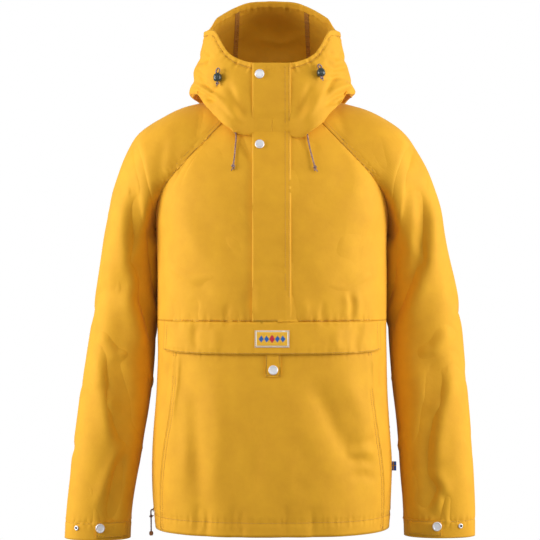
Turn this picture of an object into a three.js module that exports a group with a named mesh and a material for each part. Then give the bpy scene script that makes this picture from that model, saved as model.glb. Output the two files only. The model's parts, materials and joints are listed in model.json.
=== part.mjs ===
// A hooded anorak pullover, filled out as if worn. Millimetres, +Z up, +X the wearer's left, front to -Y.
// The origin is at the base of the neck. Every cloth piece is a thin wall, worked out from section tables.
import * as THREE from 'three';

const WALL = 1.5; // the cloth, with its hems and linings
const SEAM = 0.3; // between two pieces at a seam
const LAID = 0.5; // between a panel and what lies on it
const DEGREE = Math.PI / 180;
const MM_PER_DEGREE = 3; // round the body
const HALF_COLUMNS = 14; // of cells round half of the body's front or back
const NECK_COLUMNS = 4; // of those, the ones that end at the neck
const ARM_COLUMNS = HALF_COLUMNS - NECK_COLUMNS; // and the ones that end at the raglan seam

const HEM_Z = -694;
const CHEST_SEAM_Z = -345;
const UNDERARM_Z = -190;
const FACE_FRONT_Z = 79; // the top of the placket
const FLAP_BOTTOM_Z = -398;
const PLACKET_LINES = [-32.5, 0, 31]; // mm across
const POCKET_EDGE = 51.5; // degrees round from the front
const PLACKET_OFF = 0.8;
const FLAP_END = 59.2;
const FLAP_OFF = { bottom: 3, top: 0.5 }; // it stands off the panel a little at its free edge
const TAB = { from: -3.3, to: 4.3, top: -390, bottom: -434 };
const PATCH = { half: 8.2, top: -359, bottom: -386.5, thickness: 1 };
const SNAP = { radius: 7.8, height: 3.2 };
const STUD = { radius: 4.2, height: 2 };
const CORD_RADIUS = 1.2;
const KNOT_RADIUS = 3;

const rows = (names, values) =>
  values.map((row) => Object.fromEntries(names.map((name, k) => [name, row[k]])));

// The body, by height. Front and back have their own widths above the underarm.
const BODY = rows(['z', 'widthFront', 'widthBack', 'front', 'back'], [
  [-694, 199, 199, 161, 152],
  [-640, 203, 203, 164, 155],
  [-560, 203, 203, 165, 156],
  [-480, 197, 197, 163, 154],
  [-400, 194, 194, 159, 150],
  [-312, 195, 195, 154, 148],
  [-240, 195, 195, 152, 148],
  [-190, 196, 196, 151, 147],
  [-145, 199, 197, 148, 144],
  [-119, 196, 195, 145, 141],
  [-94, 187, 190, 140, 136],
  [-59, 153, 172, 131, 126],
  [-14, 102, 138, 117, 107],
  [2, 84, 126, 112, 99],
  [48, 84, 84, 100, 74],
]);
const BODY_POWER = 2.6;

// The neck seam, by degrees round from the front.
const NECK = rows(['turn', 'z'], [[0, -30], [22, -20], [43.5, 2], [90, 30], [140, 45], [180, 48]]);
const NECK_LOOP = { width: 86, front: 113, back: 74, power: 2.2 };
const NECK_FRONT_TURN = 43.5;
const NECK_BACK_TURN = 140;

// The raglan seams below the neck, by degrees round the body.
const RAGLAN_FRONT = rows(['turn', 'z'], [
  [45, -16], [47.2, -59], [50.5, -94], [57.7, -121], [67, -146], [78, -171], [90, UNDERARM_Z],
]);
const RAGLAN_BACK = rows(['turn', 'z'], [
  [134, -2], [131, -45], [126, -92], [118, -124], [107, -152], [98, -176], [90, UNDERARM_Z],
]);

// Where the pouch pocket's side edge runs, by height.
const POCKET_SIDE = rows(['z', 'turn'], [
  [HEM_Z, 61], [-610, 59], [-560, 56], [-500, 52.5], [-430, POCKET_EDGE], [CHEST_SEAM_Z, POCKET_EDGE],
]);

// Folds in the body, from one place to another. A negative depth stands out.
const BODY_FOLDS = rows(['fromTurn', 'fromZ', 'toTurn', 'toZ', 'width', 'depth'], [
  [-46, -420, -33, -640, 24, 4.5],
  [21, -455, 42, -590, 24, 5],
  [-32, -650, -31, -700, 9, 3.5],
  [-16, -655, -15, -700, 9, 3],
  [7, -658, 6, -700, 9, 3.5],
  [19, -650, 20, -700, 9, 3],
  [-36, -330, -35, -362, 9, 2],
  [42, -325, 40, -365, 9, 2.5],
  [-60, -200, -30, -262, 15, 4],
  [58, -205, 34, -270, 15, 4],
  [150, -230, 168, -470, 26, 6],
  [205, -260, 190, -520, 26, 6],
  [128, -240, 150, -330, 18, 5],
  [232, -235, 212, -340, 18, 5],
  [146, -600, 143, -700, 14, 4],
  [171, -630, 172, -700, 12, 4],
  [194, -610, 196, -700, 14, 4],
  [221, -625, 224, -700, 12, 4],
]);

// Rings round a sleeve from the neck to the wrist. Outer and inner are the ring's points away from
// and beside the body, middle is how far back it lies, front and back are its half depths, and swell
// is how far its front and back stand out sideways from a flat ring.
const SLEEVE = ['outerX', 'outerZ', 'innerX', 'innerZ', 'middle', 'front', 'back', 'swell'];
const SHOULDER_RINGS = [
  [143, 19, 204, -200, 1, 92, 90, 16],
  [198, -7, 205, -210, 5, 91, 86, 12],
  [240, -40, 203, -221, 12, 89, 80, 6],
];
const SLEEVE_RIGHT = rows(SLEEVE, [
  ...SHOULDER_RINGS,
  [272, -120, 200.5, -238, 20, 84, 74, 2],
  [292, -225, 198, -262, 26, 78, 70, 0],
  [303, -305, 197.5, -318, 26, 72, 68, 0],
  [314, -379, 199, -381, 20, 67, 65, 0],
  [325, -449, 203, -449, 8, 61, 60, 0],
  [338, -560, 219, -556, -6, 54, 54, 0],
  [349, -668, 237, -666, -18, 46, 46, 0],
  [351, -713, 238.5, -713, -22, 43, 43, 0],
]);
const SLEEVE_LEFT = rows(SLEEVE, [
  ...SHOULDER_RINGS,
  [276, -108, 200.5, -238, 20, 84, 74, 2],
  [300, -217, 198, -262, 26, 78, 70, 0],
  [321, -311, 197.5, -318, 26, 72, 68, 0],
  [328, -380, 200, -381, 20, 67, 65, 0],
  [333, -449, 205, -449, 8, 61, 60, 0],
  [342, -570, 215, -560, -6, 54, 54, 0],
  [344.5, -664, 221, -664, -18, 46, 46, 0],
  [344, -709, 223, -709, -22, 43, 43, 0],
]);
const SLEEVE_POWER = 2.25;
const AROUND = 2 * ARM_COLUMNS + 4; // cells round a sleeve, of which four end at the neck
const STEPS_PER_RING = 2;
const MM_PER_RING = 55;

// Folds in the sleeves: degrees round from the body's side over the front, and ring number.
const SLEEVE_FOLD = ['fromTurn', 'fromRing', 'toTurn', 'toRing', 'width', 'depth'];
const SLEEVE_RIGHT_FOLDS = rows(SLEEVE_FOLD, [
  [150, 3.1, 78, 3.2, 14, 6],
  [105, 5.3, 40, 6.1, 13, 7],
  [96, 7.0, 66, 8.6, 14, 5],
  [66, 8.9, 66, 10.4, 10, 7],
  [200, 5.2, 245, 6.4, 16, 6],
  [230, 7.6, 285, 8.8, 16, 6],
  [175, 3.4, 235, 4.6, 16, 5],
]);
const SLEEVE_LEFT_FOLDS = rows(SLEEVE_FOLD, [
  [155, 3.0, 80, 3.2, 14, 6],
  [110, 3.8, 92, 5.0, 12, 8],
  [92, 5.0, 25, 6.3, 12, 8],
  [78, 7.2, 104, 8.4, 14, 5],
  [72, 9.0, 84, 10.2, 12, 5],
  [215, 5.0, 262, 6.2, 16, 6],
  [240, 7.5, 290, 8.9, 16, 6],
  [178, 3.5, 240, 4.5, 16, 5],
]);

// Rings of the hood from the neck seam, out over the shoulders and up to its tunnel hem. The
// centre is behind the placket, and the fold falls forward beside it.
const HOOD_RINGS = rows(
  ['width', 'centre', 'fold', 'back', 'centreZ', 'foldZ', 'sideZ', 'backZ', 'middle'], [
    [106, 115.5, 124, 90, -22, -24, 37, 33, 0],
    [126, 117.5, 135, 116, -13, -37, 34, 2, 0],
    [138, 118.5, 141, 137, -3, -35, 32, -16, 0],

    [142.5, 119, 142, 152, 8, -20, 38, -6, 0],
    [138, 119.5, 138, 160, 21, 8, 56, 34, 0],
    [131, 119.5, 133, 154, 35, 33, 76, 84, -4],
    [125, 118.5, 126, 138, 48, 54, 96, 130, -12],
    [120, 117, 118, 110, 58, 67, 114, 168, -20],
    [116.5, 116, 114, 73, 67, 74, 128, 190, -26],
  ]);
const HOOD_RIM = rows(
  ['width', 'centre', 'fold', 'back', 'centreZ', 'foldZ', 'sideZ', 'backZ', 'middle'],
  [[116, 115, 111, 62, FACE_FRONT_Z, 85, 139.5, 202, -26]],
)[0];
const HOOD_POWER = 2.15;
const HOOD_CENTRE_COLUMNS = [0.15, 11, 22, 34]; // mm from the middle, flat behind the placket
const HOOD_TURNS = [26, 34, 43.5, 54, 66, 78, 90, 102, 114, 126, 138, 149, 160, 170, 180];
const HOOD_PANEL_TURN = 149; // the seam between a side panel and the centre panel
const HOOD_FOLDS = rows(['fromTurn', 'fromRow', 'toTurn', 'toRow', 'width', 'depth'], [
  [40, 1.5, 52, 6, 9, 5],
  [66, 1.5, 70, 5.5, 9, 5],
  [-36, 1.5, -46, 6, 9, 5],
  [-62, 1.5, -68, 5, 9, 5],
  [104, 2, 112, 7, 14, 7],
  [-108, 2, -118, 6.5, 14, 7],
  [142, 3, 138, 7, 12, 6],
  [-150, 3, -158, 7, 12, 6],
]);
const MM_PER_HOOD_DEGREE = 2.1;
const MM_PER_HOOD_RING = 22;
const TUNNEL_WALL = 2.8;

const CLOTH = { color: 0xdda02d, roughness: 0.82, metalness: 0 };
const STEEL = { color: 0xd8d8dc, roughness: 0.35, metalness: 0.9 };
const LOCK = { color: 0x3a4440, roughness: 0.5, metalness: 0 };
const CORD = { color: 0x6e4a35, roughness: 0.9, metalness: 0 };

const anorak = new THREE.Group();

function add(name, geometry, look) {
  const mesh = new THREE.Mesh(geometry, new THREE.MeshStandardMaterial(look));
  mesh.name = name;
  anorak.add(mesh);
  return mesh;
}

const clamp = (value, low, high) => Math.min(Math.max(value, low), high);
const mix = (a, b, t) => a + (b - a) * t;
const ease = (t) => t * t * (3 - 2 * t);
const rise = (from, to, at) => ease(clamp((at - from) / (to - from), 0, 1));

// A smooth reading of one column of a table at a value of another.
function read(table, key, at, column) {
  const last = table.length - 1;
  const way = Math.sign(table[last][key] - table[0][key]);
  if ((at - table[0][key]) * way <= 0) return table[0][column];
  if ((at - table[last][key]) * way >= 0) return table[last][column];
  let k = 0;
  while ((at - table[k + 1][key]) * way > 0) k += 1;
  const slope = (i) => {
    const before = table[Math.max(i - 1, 0)];
    const after = table[Math.min(i + 1, last)];
    return (after[column] - before[column]) / (after[key] - before[key]);
  };
  const [p, q] = [table[k], table[k + 1]];
  const step = q[key] - p[key];
  const t = (at - p[key]) / step;
  const s = 1 - t;
  return p[column] * (1 + 2 * t) * s * s + q[column] * (3 - 2 * t) * t * t
    + step * t * s * (slope(k) * s - slope(k + 1) * t);
}

// How deep the folds of a table are at a place on the cloth, in millimetres both ways.
function foldDepth(folds, u, v, across, up) {
  let depth = 0;
  for (const fold of folds) {
    const [u0, v0] = [fold.fromTurn * across, (fold.fromZ ?? fold.fromRing ?? fold.fromRow) * up];
    const [u1, v1] = [fold.toTurn * across, (fold.toZ ?? fold.toRing ?? fold.toRow) * up];
    const [du, dv] = [u1 - u0, v1 - v0];
    const t = clamp(((u - u0) * du + (v - v0) * dv) / (du * du + dv * dv), 0, 1);
    const away = Math.hypot(u - u0 - t * du, v - v0 - t * dv);
    depth += fold.depth * Math.exp(-((away / fold.width) ** 2));
  }
  return depth;
}

// A unit superellipse, by degrees round from the front: across to +X, and forward.
function roundSquare(turn, power) {
  const across = Math.sin(turn * DEGREE);
  const forward = Math.cos(turn * DEGREE);
  const reach = (Math.abs(across) ** power + Math.abs(forward) ** power) ** (-1 / power);
  return { across: across * reach, forward: forward * reach };
}

// A point on the body, moved out by some millimetres.
function bodyPoint(turn, z, out = 0) {
  const { across, forward } = roundSquare(turn, BODY_POWER);
  const isFront = forward >= 0;
  const width = read(BODY, 'z', z, isFront ? 'widthFront' : 'widthBack');
  const depth = read(BODY, 'z', z, isFront ? 'front' : 'back');
  const point = new THREE.Vector3(width * across, -depth * forward, z);
  const way = new THREE.Vector3(point.x / width ** 2, point.y / depth ** 2, 0).normalize();
  const fold = foldDepth(BODY_FOLDS, turn * MM_PER_DEGREE, z, MM_PER_DEGREE, 1);
  return point.addScaledVector(way, out - fold);
}

function neckPoint(turn) {
  const { across, forward } = roundSquare(turn, NECK_LOOP.power);
  const depth = forward >= 0 ? NECK_LOOP.front : NECK_LOOP.back;
  return new THREE.Vector3(
    NECK_LOOP.width * across, -depth * forward, read(NECK, 'turn', Math.abs(turn), 'z'));
}

// The top of the body's front or back: places round half of it, from its middle to the underarm.
function bodyTop(raglan, middleTurn, neckTurn) {
  const path = new THREE.CatmullRomCurve3([
    new THREE.Vector3(neckTurn * MM_PER_DEGREE, read(NECK, 'turn', neckTurn, 'z'), 0),
    ...raglan.map((row) => new THREE.Vector3(row.turn * MM_PER_DEGREE, row.z, 0)),
  ]);
  const places = [];
  for (let j = 0; j <= HALF_COLUMNS; j += 1) {
    if (j <= NECK_COLUMNS) {
      const turn = mix(middleTurn, neckTurn, j / NECK_COLUMNS);
      places.push({ turn, z: read(NECK, 'turn', turn, 'z'), point: neckPoint(turn) });
    } else {
      const at = path.getPointAt((j - NECK_COLUMNS) / ARM_COLUMNS);
      const turn = at.x / MM_PER_DEGREE;
      places.push({ turn, z: at.y, point: bodyPoint(turn, at.y) });
    }
  }
  return places;
}

// Rows from the chest seam's height up to the top, for half of the front or back.
const UPPER_ROWS = 9;
function upperHalf(top, middleTurn) {
  const grid = [];
  for (let i = 0; i <= UPPER_ROWS; i += 1) {
    const t = i / UPPER_ROWS;
    grid.push(top.map((place, j) => {
      const foot = mix(middleTurn, 90, j / HALF_COLUMNS);
      const turn = mix(foot, place.turn, ease(t));
      const point = bodyPoint(turn, mix(CHEST_SEAM_Z, place.z, t));
      const atTop = bodyPoint(place.turn, place.z);
      return point.add(place.point.clone().sub(atTop).multiplyScalar(t ** 3));
    }));
  }
  return grid;
}

const mirrored = (grid) =>
  grid.map((row) => row.map((p) => new THREE.Vector3(-p.x, p.y, p.z)).reverse());
const columns = (grid, from, to) => grid.map((row) => row.slice(from, to + 1));
const beside = (left, right) => left.map((row, i) => [...row, ...right[i].slice(1)]);

// The way out at each point of a grid, whose columns run round and whose rows run up.
function outward(grid, round) {
  const [last, end] = [grid.length - 1, grid[0].length - 1];
  return grid.map((row, i) => row.map((_, j) => {
    const [before, after] = round
      ? [(j + end) % (end + 1), (j + 1) % (end + 1)]
      : [Math.max(j - 1, 0), Math.min(j + 1, end)];
    const along = row[after].clone().sub(row[before]);
    const up = grid[Math.min(i + 1, last)][j].clone().sub(grid[Math.max(i - 1, 0)][j]);
    return along.cross(up).normalize();
  }));
}

// Closes a grid of outer points into a wall, with its inner points moved in.
function wall(grid, inner, round) {
  const [height, width] = [grid.length, grid[0].length];
  const points = [...grid.flat(), ...inner.flat()];
  const position = points.flatMap((p) => [p.x, p.y, p.z]);
  const at = (side, i, j) => side * height * width + i * width + (j % width);
  const faces = [];
  const quad = (a, b, c, d) => faces.push(a, b, c, a, c, d);
  const spans = round ? width : width - 1;
  for (let i = 0; i < height - 1; i += 1) {
    for (let j = 0; j < spans; j += 1) {
      quad(at(0, i, j), at(0, i, j + 1), at(0, i + 1, j + 1), at(0, i + 1, j));
      quad(at(1, i, j), at(1, i + 1, j), at(1, i + 1, j + 1), at(1, i, j + 1));
    }
  }
  for (let j = 0; j < spans; j += 1) {
    quad(at(0, 0, j), at(1, 0, j), at(1, 0, j + 1), at(0, 0, j + 1));
    quad(at(0, height - 1, j), at(0, height - 1, j + 1), at(1, height - 1, j + 1), at(1, height - 1, j));
  }
  for (let i = 0; i < height - 1 && !round; i += 1) {
    quad(at(0, i, 0), at(0, i + 1, 0), at(1, i + 1, 0), at(1, i, 0));
    quad(at(0, i, width - 1), at(1, i, width - 1), at(1, i + 1, width - 1), at(0, i + 1, width - 1));
  }
  const geometry = new THREE.BufferGeometry();
  geometry.setAttribute('position', new THREE.Float32BufferAttribute(position, 3));
  geometry.setIndex(faces);
  return geometry;
}

// Panels that share seam points get one way in there, so that their walls meet side by side.
const panels = [];
const seamWays = new Map();
const place = (p) => `${Math.round(p.x * 50)},${Math.round(p.y * 50)},${Math.round(p.z * 50)}`;

function isEdge(panel, i, j) {
  const [last, end] = [panel.grid.length - 1, panel.grid[0].length - 1];
  return i === 0 || i === last || (!panel.round && (j === 0 || j === end));
}

function panel(name, grid, { round = false, seams = '', thickness = WALL } = {}) {
  const one = { name, grid, round, seams, thickness, ways: outward(grid, round) };
  grid.forEach((row, i) => row.forEach((p, j) => {
    if (!isEdge(one, i, j)) return;
    const shared = seamWays.get(place(p)) ?? { sum: new THREE.Vector3(), count: 0 };
    shared.sum.add(one.ways[i][j]);
    shared.count += 1;
    seamWays.set(place(p), shared);
  }));
  panels.push(one);
}

// How a seam edge is drawn back from its neighbour: across the shared way out.
function drawnBack(grid, i, j, way, seams, round) {
  const [last, end] = [grid.length - 1, grid[0].length - 1];
  const shift = new THREE.Vector3();
  const toward = (p) => {
    const step = p.clone().sub(grid[i][j]).normalize();
    shift.add(step.addScaledVector(way, -step.dot(way)).normalize().multiplyScalar(SEAM / 2));
  };
  if (i === 0 && seams.includes('bottom')) toward(grid[1][j]);
  if (i === last && seams.includes('top')) toward(grid[last - 1][j]);
  if (!round && j === 0 && seams.includes('start')) toward(grid[i][1]);
  if (!round && j === end && seams.includes('end')) toward(grid[i][end - 1]);
  return shift;
}

const SHARPEST = 0.62; // at a crease the wall grows no thicker than its own thickness over this

function sewPanels() {
  for (const { name, grid, round, seams, thickness, ways } of panels) {
    const outer = [];
    const inner = [];
    grid.forEach((row, i) => {
      outer.push([]);
      inner.push([]);
      row.forEach((p, j) => {
        const edge = isEdge({ grid, round }, i, j);
        const shared = edge && seamWays.get(place(p));
        const mean = shared ? shared.sum.clone().divideScalar(shared.count) : ways[i][j].clone();
        const deep = thickness / Math.max(mean.length(), SHARPEST);
        const way = mean.normalize();
        const moved = p.clone().add(drawnBack(grid, i, j, way, seams, round));
        outer[i].push(moved);
        inner[i].push(moved.clone().addScaledVector(way, -deep));
      });
    });
    add(name, wall(outer, inner, round), CLOTH);
  }
}

// A piece that lies on a panel: its inner side is at a clearance, its outer side a wall further.
function laid(name, grid, clearance, look = CLOTH, thickness = WALL) {
  const ways = outward(grid, false);
  const gap = (i) => (Array.isArray(clearance)
    ? mix(clearance[0], clearance[1], i / (grid.length - 1)) : clearance);
  const moved = (extra) => grid.map((row, i) =>
    row.map((p, j) => p.clone().addScaledVector(ways[i][j], gap(i) + extra)));
  return add(name, wall(moved(thickness), moved(0), false), look);
}

// Something turned to stand on the cloth: its own +Z goes along the way out.
function seated(mesh, point, way, clearance) {
  mesh.position.copy(point).addScaledVector(way, clearance);
  mesh.quaternion.setFromUnitVectors(new THREE.Vector3(0, 0, 1), way);
  return mesh;
}

// Front and back above the chest seam

const frontTop = bodyTop(RAGLAN_FRONT, 0, NECK_FRONT_TURN);
const backTop = bodyTop(RAGLAN_BACK, 180, NECK_BACK_TURN);
const frontHalf = upperHalf(frontTop, 0);
const backHalf = upperHalf(backTop, 180).map((row) => row.reverse());
panel('front_upper_left', frontHalf, { seams: 'bottom top start end' });
panel('front_upper_right', mirrored(frontHalf), { seams: 'bottom top start end' });

// The lower front, its two sides and the back below the seam

const LOWER_ROWS = 9;
const FRONT_CELLS = 16; // from the middle to the pocket's edge
const SIDE_CELLS = 5; // from the pocket's edge to the side seam
const lowerHeights = Array.from({ length: LOWER_ROWS + 1 }, (_, i) =>
  mix(HEM_Z, CHEST_SEAM_Z, i / LOWER_ROWS));

// The hand pocket's mouth: the panel stands out a little along its edge.
const MOUTH = { low: -560, high: -395, lift: 3.2, width: 5 };
function mouthLift(turn, z) {
  const edge = POCKET_EDGE - Math.abs(turn);
  return edge < -0.01 ? 0 : MOUTH.lift * Math.exp(-((edge / MOUTH.width) ** 2))
    * rise(MOUTH.low, MOUTH.low + 60, z) * rise(MOUTH.high + 25, MOUTH.high - 25, z);
}

const lowerGrid = (turnAt, cells) => lowerHeights.map((z) =>
  Array.from({ length: cells + 1 }, (_, j) => {
    const turn = turnAt(j / cells, read(POCKET_SIDE, 'z', z, 'turn'));
    return bodyPoint(turn, z, mouthLift(turn, z));
  }));
const sideGrid = (side) => lowerHeights.map((z) =>
  Array.from({ length: SIDE_CELLS + 1 }, (_, j) =>
    bodyPoint(side * mix(read(POCKET_SIDE, 'z', z, 'turn'), 90, j / SIDE_CELLS), z)));
const ofSide = (side, grid) => (side > 0 ? grid : grid.map((row) => row.reverse()));
panel('front_lower', lowerGrid((t, edge) => mix(-edge, edge, t), 2 * FRONT_CELLS), {
  seams: 'top start end',
});
panel('side_front_left', sideGrid(1), { seams: 'top start end' });
panel('side_front_right', ofSide(-1, sideGrid(-1)), { seams: 'top start end' });

const backLower = lowerHeights.map((z) => Array.from({ length: 2 * HALF_COLUMNS + 1 }, (_, j) =>
  bodyPoint(mix(90, 270, j / (2 * HALF_COLUMNS)), z)));
const backUpper = beside(backHalf, mirrored(backHalf));
panel('back', [...backLower, ...backUpper.slice(1)], { seams: 'top start end' });

// Sleeves

// A ring's points in the same order as the raglan loop: from the neck's front, down the front
// seam, up the back seam and over the shoulder.
function sleeveRing(ring) {
  const outer = new THREE.Vector3(ring.outerX, ring.middle, ring.outerZ);
  const inner = new THREE.Vector3(ring.innerX, ring.middle, ring.innerZ);
  const centre = outer.clone().add(inner).divideScalar(2);
  const toBody = inner.clone().sub(centre);
  return Array.from({ length: AROUND }, (_, k) => {
    const { across, forward } = roundSquare(sleeveTurn(k), SLEEVE_POWER);
    const depth = across >= 0 ? ring.front : ring.back;
    const point = centre.clone().addScaledVector(toBody, forward);
    point.y -= across * depth;
    point.x += ring.swell * across ** 2;
    return point;
  });
}

// Degrees round from the side next to the body, over the front.
const sleeveTurn = (k) => (ARM_COLUMNS - k) * (360 / AROUND);

function raglanLoop() {
  const front = frontTop.slice(NECK_COLUMNS).map(({ point }) => point);
  const back = backTop.slice(NECK_COLUMNS, HALF_COLUMNS).map(({ point }) => point).reverse();
  const over = [1, 2, 3].map((k) => neckPoint(mix(NECK_BACK_TURN, NECK_FRONT_TURN, k / 4)));
  return [...front, ...back, ...over];
}

function sleeveGrid(table, folds) {
  const rings = [raglanLoop(), ...table.map(sleeveRing)];
  const paths = rings[0].map((_, k) => new THREE.CatmullRomCurve3(rings.map((ring) => ring[k])));
  const steps = (rings.length - 1) * STEPS_PER_RING;
  const plain = Array.from({ length: steps + 1 }, (_, i) => paths.map((path) => path.getPoint(i / steps)));
  const ways = outward(plain, true);
  return plain.map((row, i) => row.map((p, k) => {
    const ring = i / STEPS_PER_RING;
    const turn = (sleeveTurn(k) + 360) % 360;
    const depth = foldDepth(folds, turn * 1.15, ring * MM_PER_RING, 1.15, MM_PER_RING);
    return p.clone().addScaledVector(ways[i][k], -depth * rise(0.2, 1.2, ring));
  }));
}

const reversed = (grid) => grid.map((row) => [...row].reverse());
const mirrorX = (grid) => grid.map((row) => row.map((p) => new THREE.Vector3(-p.x, p.y, p.z)));
const sleeveLeft = sleeveGrid(SLEEVE_LEFT, SLEEVE_LEFT_FOLDS);
const sleeveRight = mirrorX(sleeveGrid(SLEEVE_RIGHT, SLEEVE_RIGHT_FOLDS));
panel('sleeve_left', sleeveLeft, { round: true, seams: 'bottom' });
panel('sleeve_right', reversed(sleeveRight), { round: true, seams: 'bottom' });

// The hood

// How far above the neck seam the hood starts: a little more where it turns over the shoulders.
const hoodOffNeck = (size) => 0.9 + 1.4 * rise(18, 42, size) * rise(125, 98, size);

const FOLD_TURN = { low: 24, high: 68 }; // degrees round: where the fold is lowest, and where it ends
function hoodRing(ring, turn) {
  const size = Math.abs(turn);
  const { across, forward } = roundSquare(turn, HOOD_POWER);
  const isFront = forward >= 0;
  const depth = isFront ? ring.fold + ring.middle : ring.back - ring.middle;
  let z = mix(ring.foldZ, ring.sideZ, rise(FOLD_TURN.low, FOLD_TURN.high, size));
  if (size > 90) z = mix(ring.sideZ, ring.backZ, ease((size - 90) / 90));
  return new THREE.Vector3(ring.width * across, ring.middle - depth * forward, z);
}

function hoodColumn(turn, across) {
  const side = Math.sign(turn);
  const foot = neckPoint(turn);
  foot.z += hoodOffNeck(Math.abs(turn));
  if (across !== undefined) foot.x = side * across;
  return [foot, ...[...HOOD_RINGS, HOOD_RIM].map((ring) => {
    if (across !== undefined) return new THREE.Vector3(side * across, -ring.centre, ring.centreZ);
    return hoodRing(ring, turn);
  })];
}

const HOOD_STEPS = 15;
function hoodSide(side) {
  const turns = [
    ...HOOD_CENTRE_COLUMNS.map((across) => ({ turn: side * (across / 86) / DEGREE / 1.15, across })),
    ...HOOD_TURNS.map((turn) => ({ turn: side * turn })),
  ];
  return turns.map(({ turn, across }) => {
    const path = new THREE.CatmullRomCurve3(hoodColumn(turn, across));
    return Array.from({ length: HOOD_STEPS + 1 }, (_, i) => path.getPoint(i / HOOD_STEPS));
  });
}

const hoodLeftColumns = hoodSide(1);
const hoodRightColumns = hoodSide(-1);
const upright = (list) => list[0].map((_, i) => list.map((column) => column[i]));
const seamColumn = HOOD_CENTRE_COLUMNS.length + HOOD_TURNS.indexOf(HOOD_PANEL_TURN);
const hoodTurns = [...HOOD_CENTRE_COLUMNS.map(() => 0), ...HOOD_TURNS];
function folded(grid, turns) {
  const ways = outward(grid, false);
  return grid.map((row, i) => row.map((p, j) => {
    const ring = (i / HOOD_STEPS) * (HOOD_RINGS.length + 1);
    const depth = foldDepth(HOOD_FOLDS, turns[j] * MM_PER_HOOD_DEGREE, ring * MM_PER_HOOD_RING,
      MM_PER_HOOD_DEGREE, MM_PER_HOOD_RING);
    return p.clone().addScaledVector(ways[i][j], -depth * rise(0, 2, ring) * rise(10, 8, ring));
  }));
}
const hoodLeft = folded(upright(hoodLeftColumns), hoodTurns);
const hoodRight = folded(
  upright([...hoodRightColumns].reverse()), hoodTurns.map((turn) => -turn).reverse());
const hoodLast = hoodLeft[0].length - 1;
const HOOD_TOP_ROW = HOOD_STEPS - 1; // the tunnel hem is above it
const belowTunnel = (grid) => grid.slice(0, HOOD_TOP_ROW + 1);
const hoodBack = beside(columns(hoodLeft, seamColumn, hoodLast), columns(hoodRight, 0, hoodLast - seamColumn));
panel('hood_left', belowTunnel(columns(hoodLeft, 0, seamColumn)), { seams: 'top start end' });
panel('hood_centre', belowTunnel(hoodBack), { seams: 'top start end' });
panel('hood_right', belowTunnel(columns(hoodRight, hoodLast - seamColumn, hoodLast)), {
  seams: 'top start end',
});
const rim = beside(hoodLeft, hoodRight).slice(HOOD_TOP_ROW);
panel('hood_tunnel', rim, { seams: 'bottom', thickness: TUNNEL_WALL });

sewPanels();

// What lies on the panels

// The placket is flat across, and follows the fronts and the hood up its middle.
const middle = [...frontHalf.map((row) => row[0]), ...hoodLeft.map((row) => row[0])];
const placketGrid = middle
  .filter((p, i) => i === 0 || p.z > middle[i - 1].z + 2)
  .map((p, i) => PLACKET_LINES.map((x) => new THREE.Vector3(x, p.y, i === 0 ? p.z + SEAM : p.z)));
laid('placket', placketGrid, PLACKET_OFF);

const frontLines = (from, to) => {
  const step = POCKET_EDGE / FRONT_CELLS;
  const between = [];
  for (let k = Math.ceil(from / step + 0.2); k < to / step - 0.2; k += 1) between.push(k * step);
  return [from, ...between, to];
};
const onFront = (turns, heights) => heights.map((z) =>
  turns.map((turn) => bodyPoint(turn, z, mouthLift(turn, z))));

const flapTurns = [-FLAP_END, ...frontLines(-POCKET_EDGE, POCKET_EDGE), FLAP_END];
const flapGrid = onFront(flapTurns, [FLAP_BOTTOM_Z, lowerHeights[LOWER_ROWS - 1], -364, CHEST_SEAM_Z - SEAM]);
flapGrid[0].forEach((p, j) => {
  p.z += 5 * (flapTurns[j] / FLAP_END) ** 4;
});
laid('pocket_flap', flapGrid, [FLAP_OFF.bottom, FLAP_OFF.top]);

const flapOff = (z) => mix(
  FLAP_OFF.bottom, FLAP_OFF.top, (z - FLAP_BOTTOM_Z) / (CHEST_SEAM_Z - FLAP_BOTTOM_Z));
laid('pocket_tab', onFront(frontLines(TAB.from, TAB.to), [TAB.bottom, -422, TAB.top]), LAID);
laid('patch', onFront(frontLines(-PATCH.half, PATCH.half), [PATCH.bottom, -372, PATCH.top]), [
  flapOff(PATCH.bottom) + WALL + LAID, flapOff(PATCH.top) + WALL + LAID,
], { color: 0xefe9dc, roughness: 0.8, metalness: 0 }, PATCH.thickness);

// A place in a grid by row and column, part way too, with its way out.
function spot(grid, i, j) {
  const [a, b] = [Math.min(Math.floor(i), grid.length - 2), Math.min(Math.floor(j), grid[0].length - 2)];
  const [u, v] = [i - a, j - b];
  const low = grid[a][b].clone().lerp(grid[a][b + 1], v);
  const high = grid[a + 1][b].clone().lerp(grid[a + 1][b + 1], v);
  const along = grid[a][b + 1].clone().sub(grid[a][b]);
  const up = grid[a + 1][b].clone().sub(grid[a][b]);
  return { point: low.lerp(high, u), way: along.cross(up).normalize() };
}

// The place in a grid that has this x and z.
function spotAt(grid, x, z) {
  let best = { away: Infinity };
  for (let i = 0; i < grid.length - 1; i += 0.125) {
    for (let j = 0; j < grid[0].length - 1; j += 0.125) {
      const found = spot(grid, i, j);
      const away = Math.hypot(found.point.x - x, found.point.z - z);
      if (away < best.away && found.way.y < -0.2) best = { ...found, away };
    }
  }
  return best;
}

const lathed = (profile, sides) => new THREE.LatheGeometry(
  profile.map(([r, h]) => new THREE.Vector2(r, h)), sides).rotateX(Math.PI / 2);

// Snaps

function snapCap(name, { point, way }, clearance) {
  const { radius: r, height: h } = SNAP;
  const cap = lathed([[0, 0], [r * 0.84, 0], [r, h * 0.3], [r * 0.8, h * 0.85], [0, h]], 16);
  seated(add(name, cap, STEEL), point, way, clearance);
}

function snapStud(name, { point, way }) {
  const { radius: r, height: h } = STUD;
  const stud = lathed([[0, 0], [r, 0], [r, h * 0.5], [r * 0.6, h], [0, h * 0.6]], 14);
  seated(add(name, stud, STEEL), point, way, SEAM);
}

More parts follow.
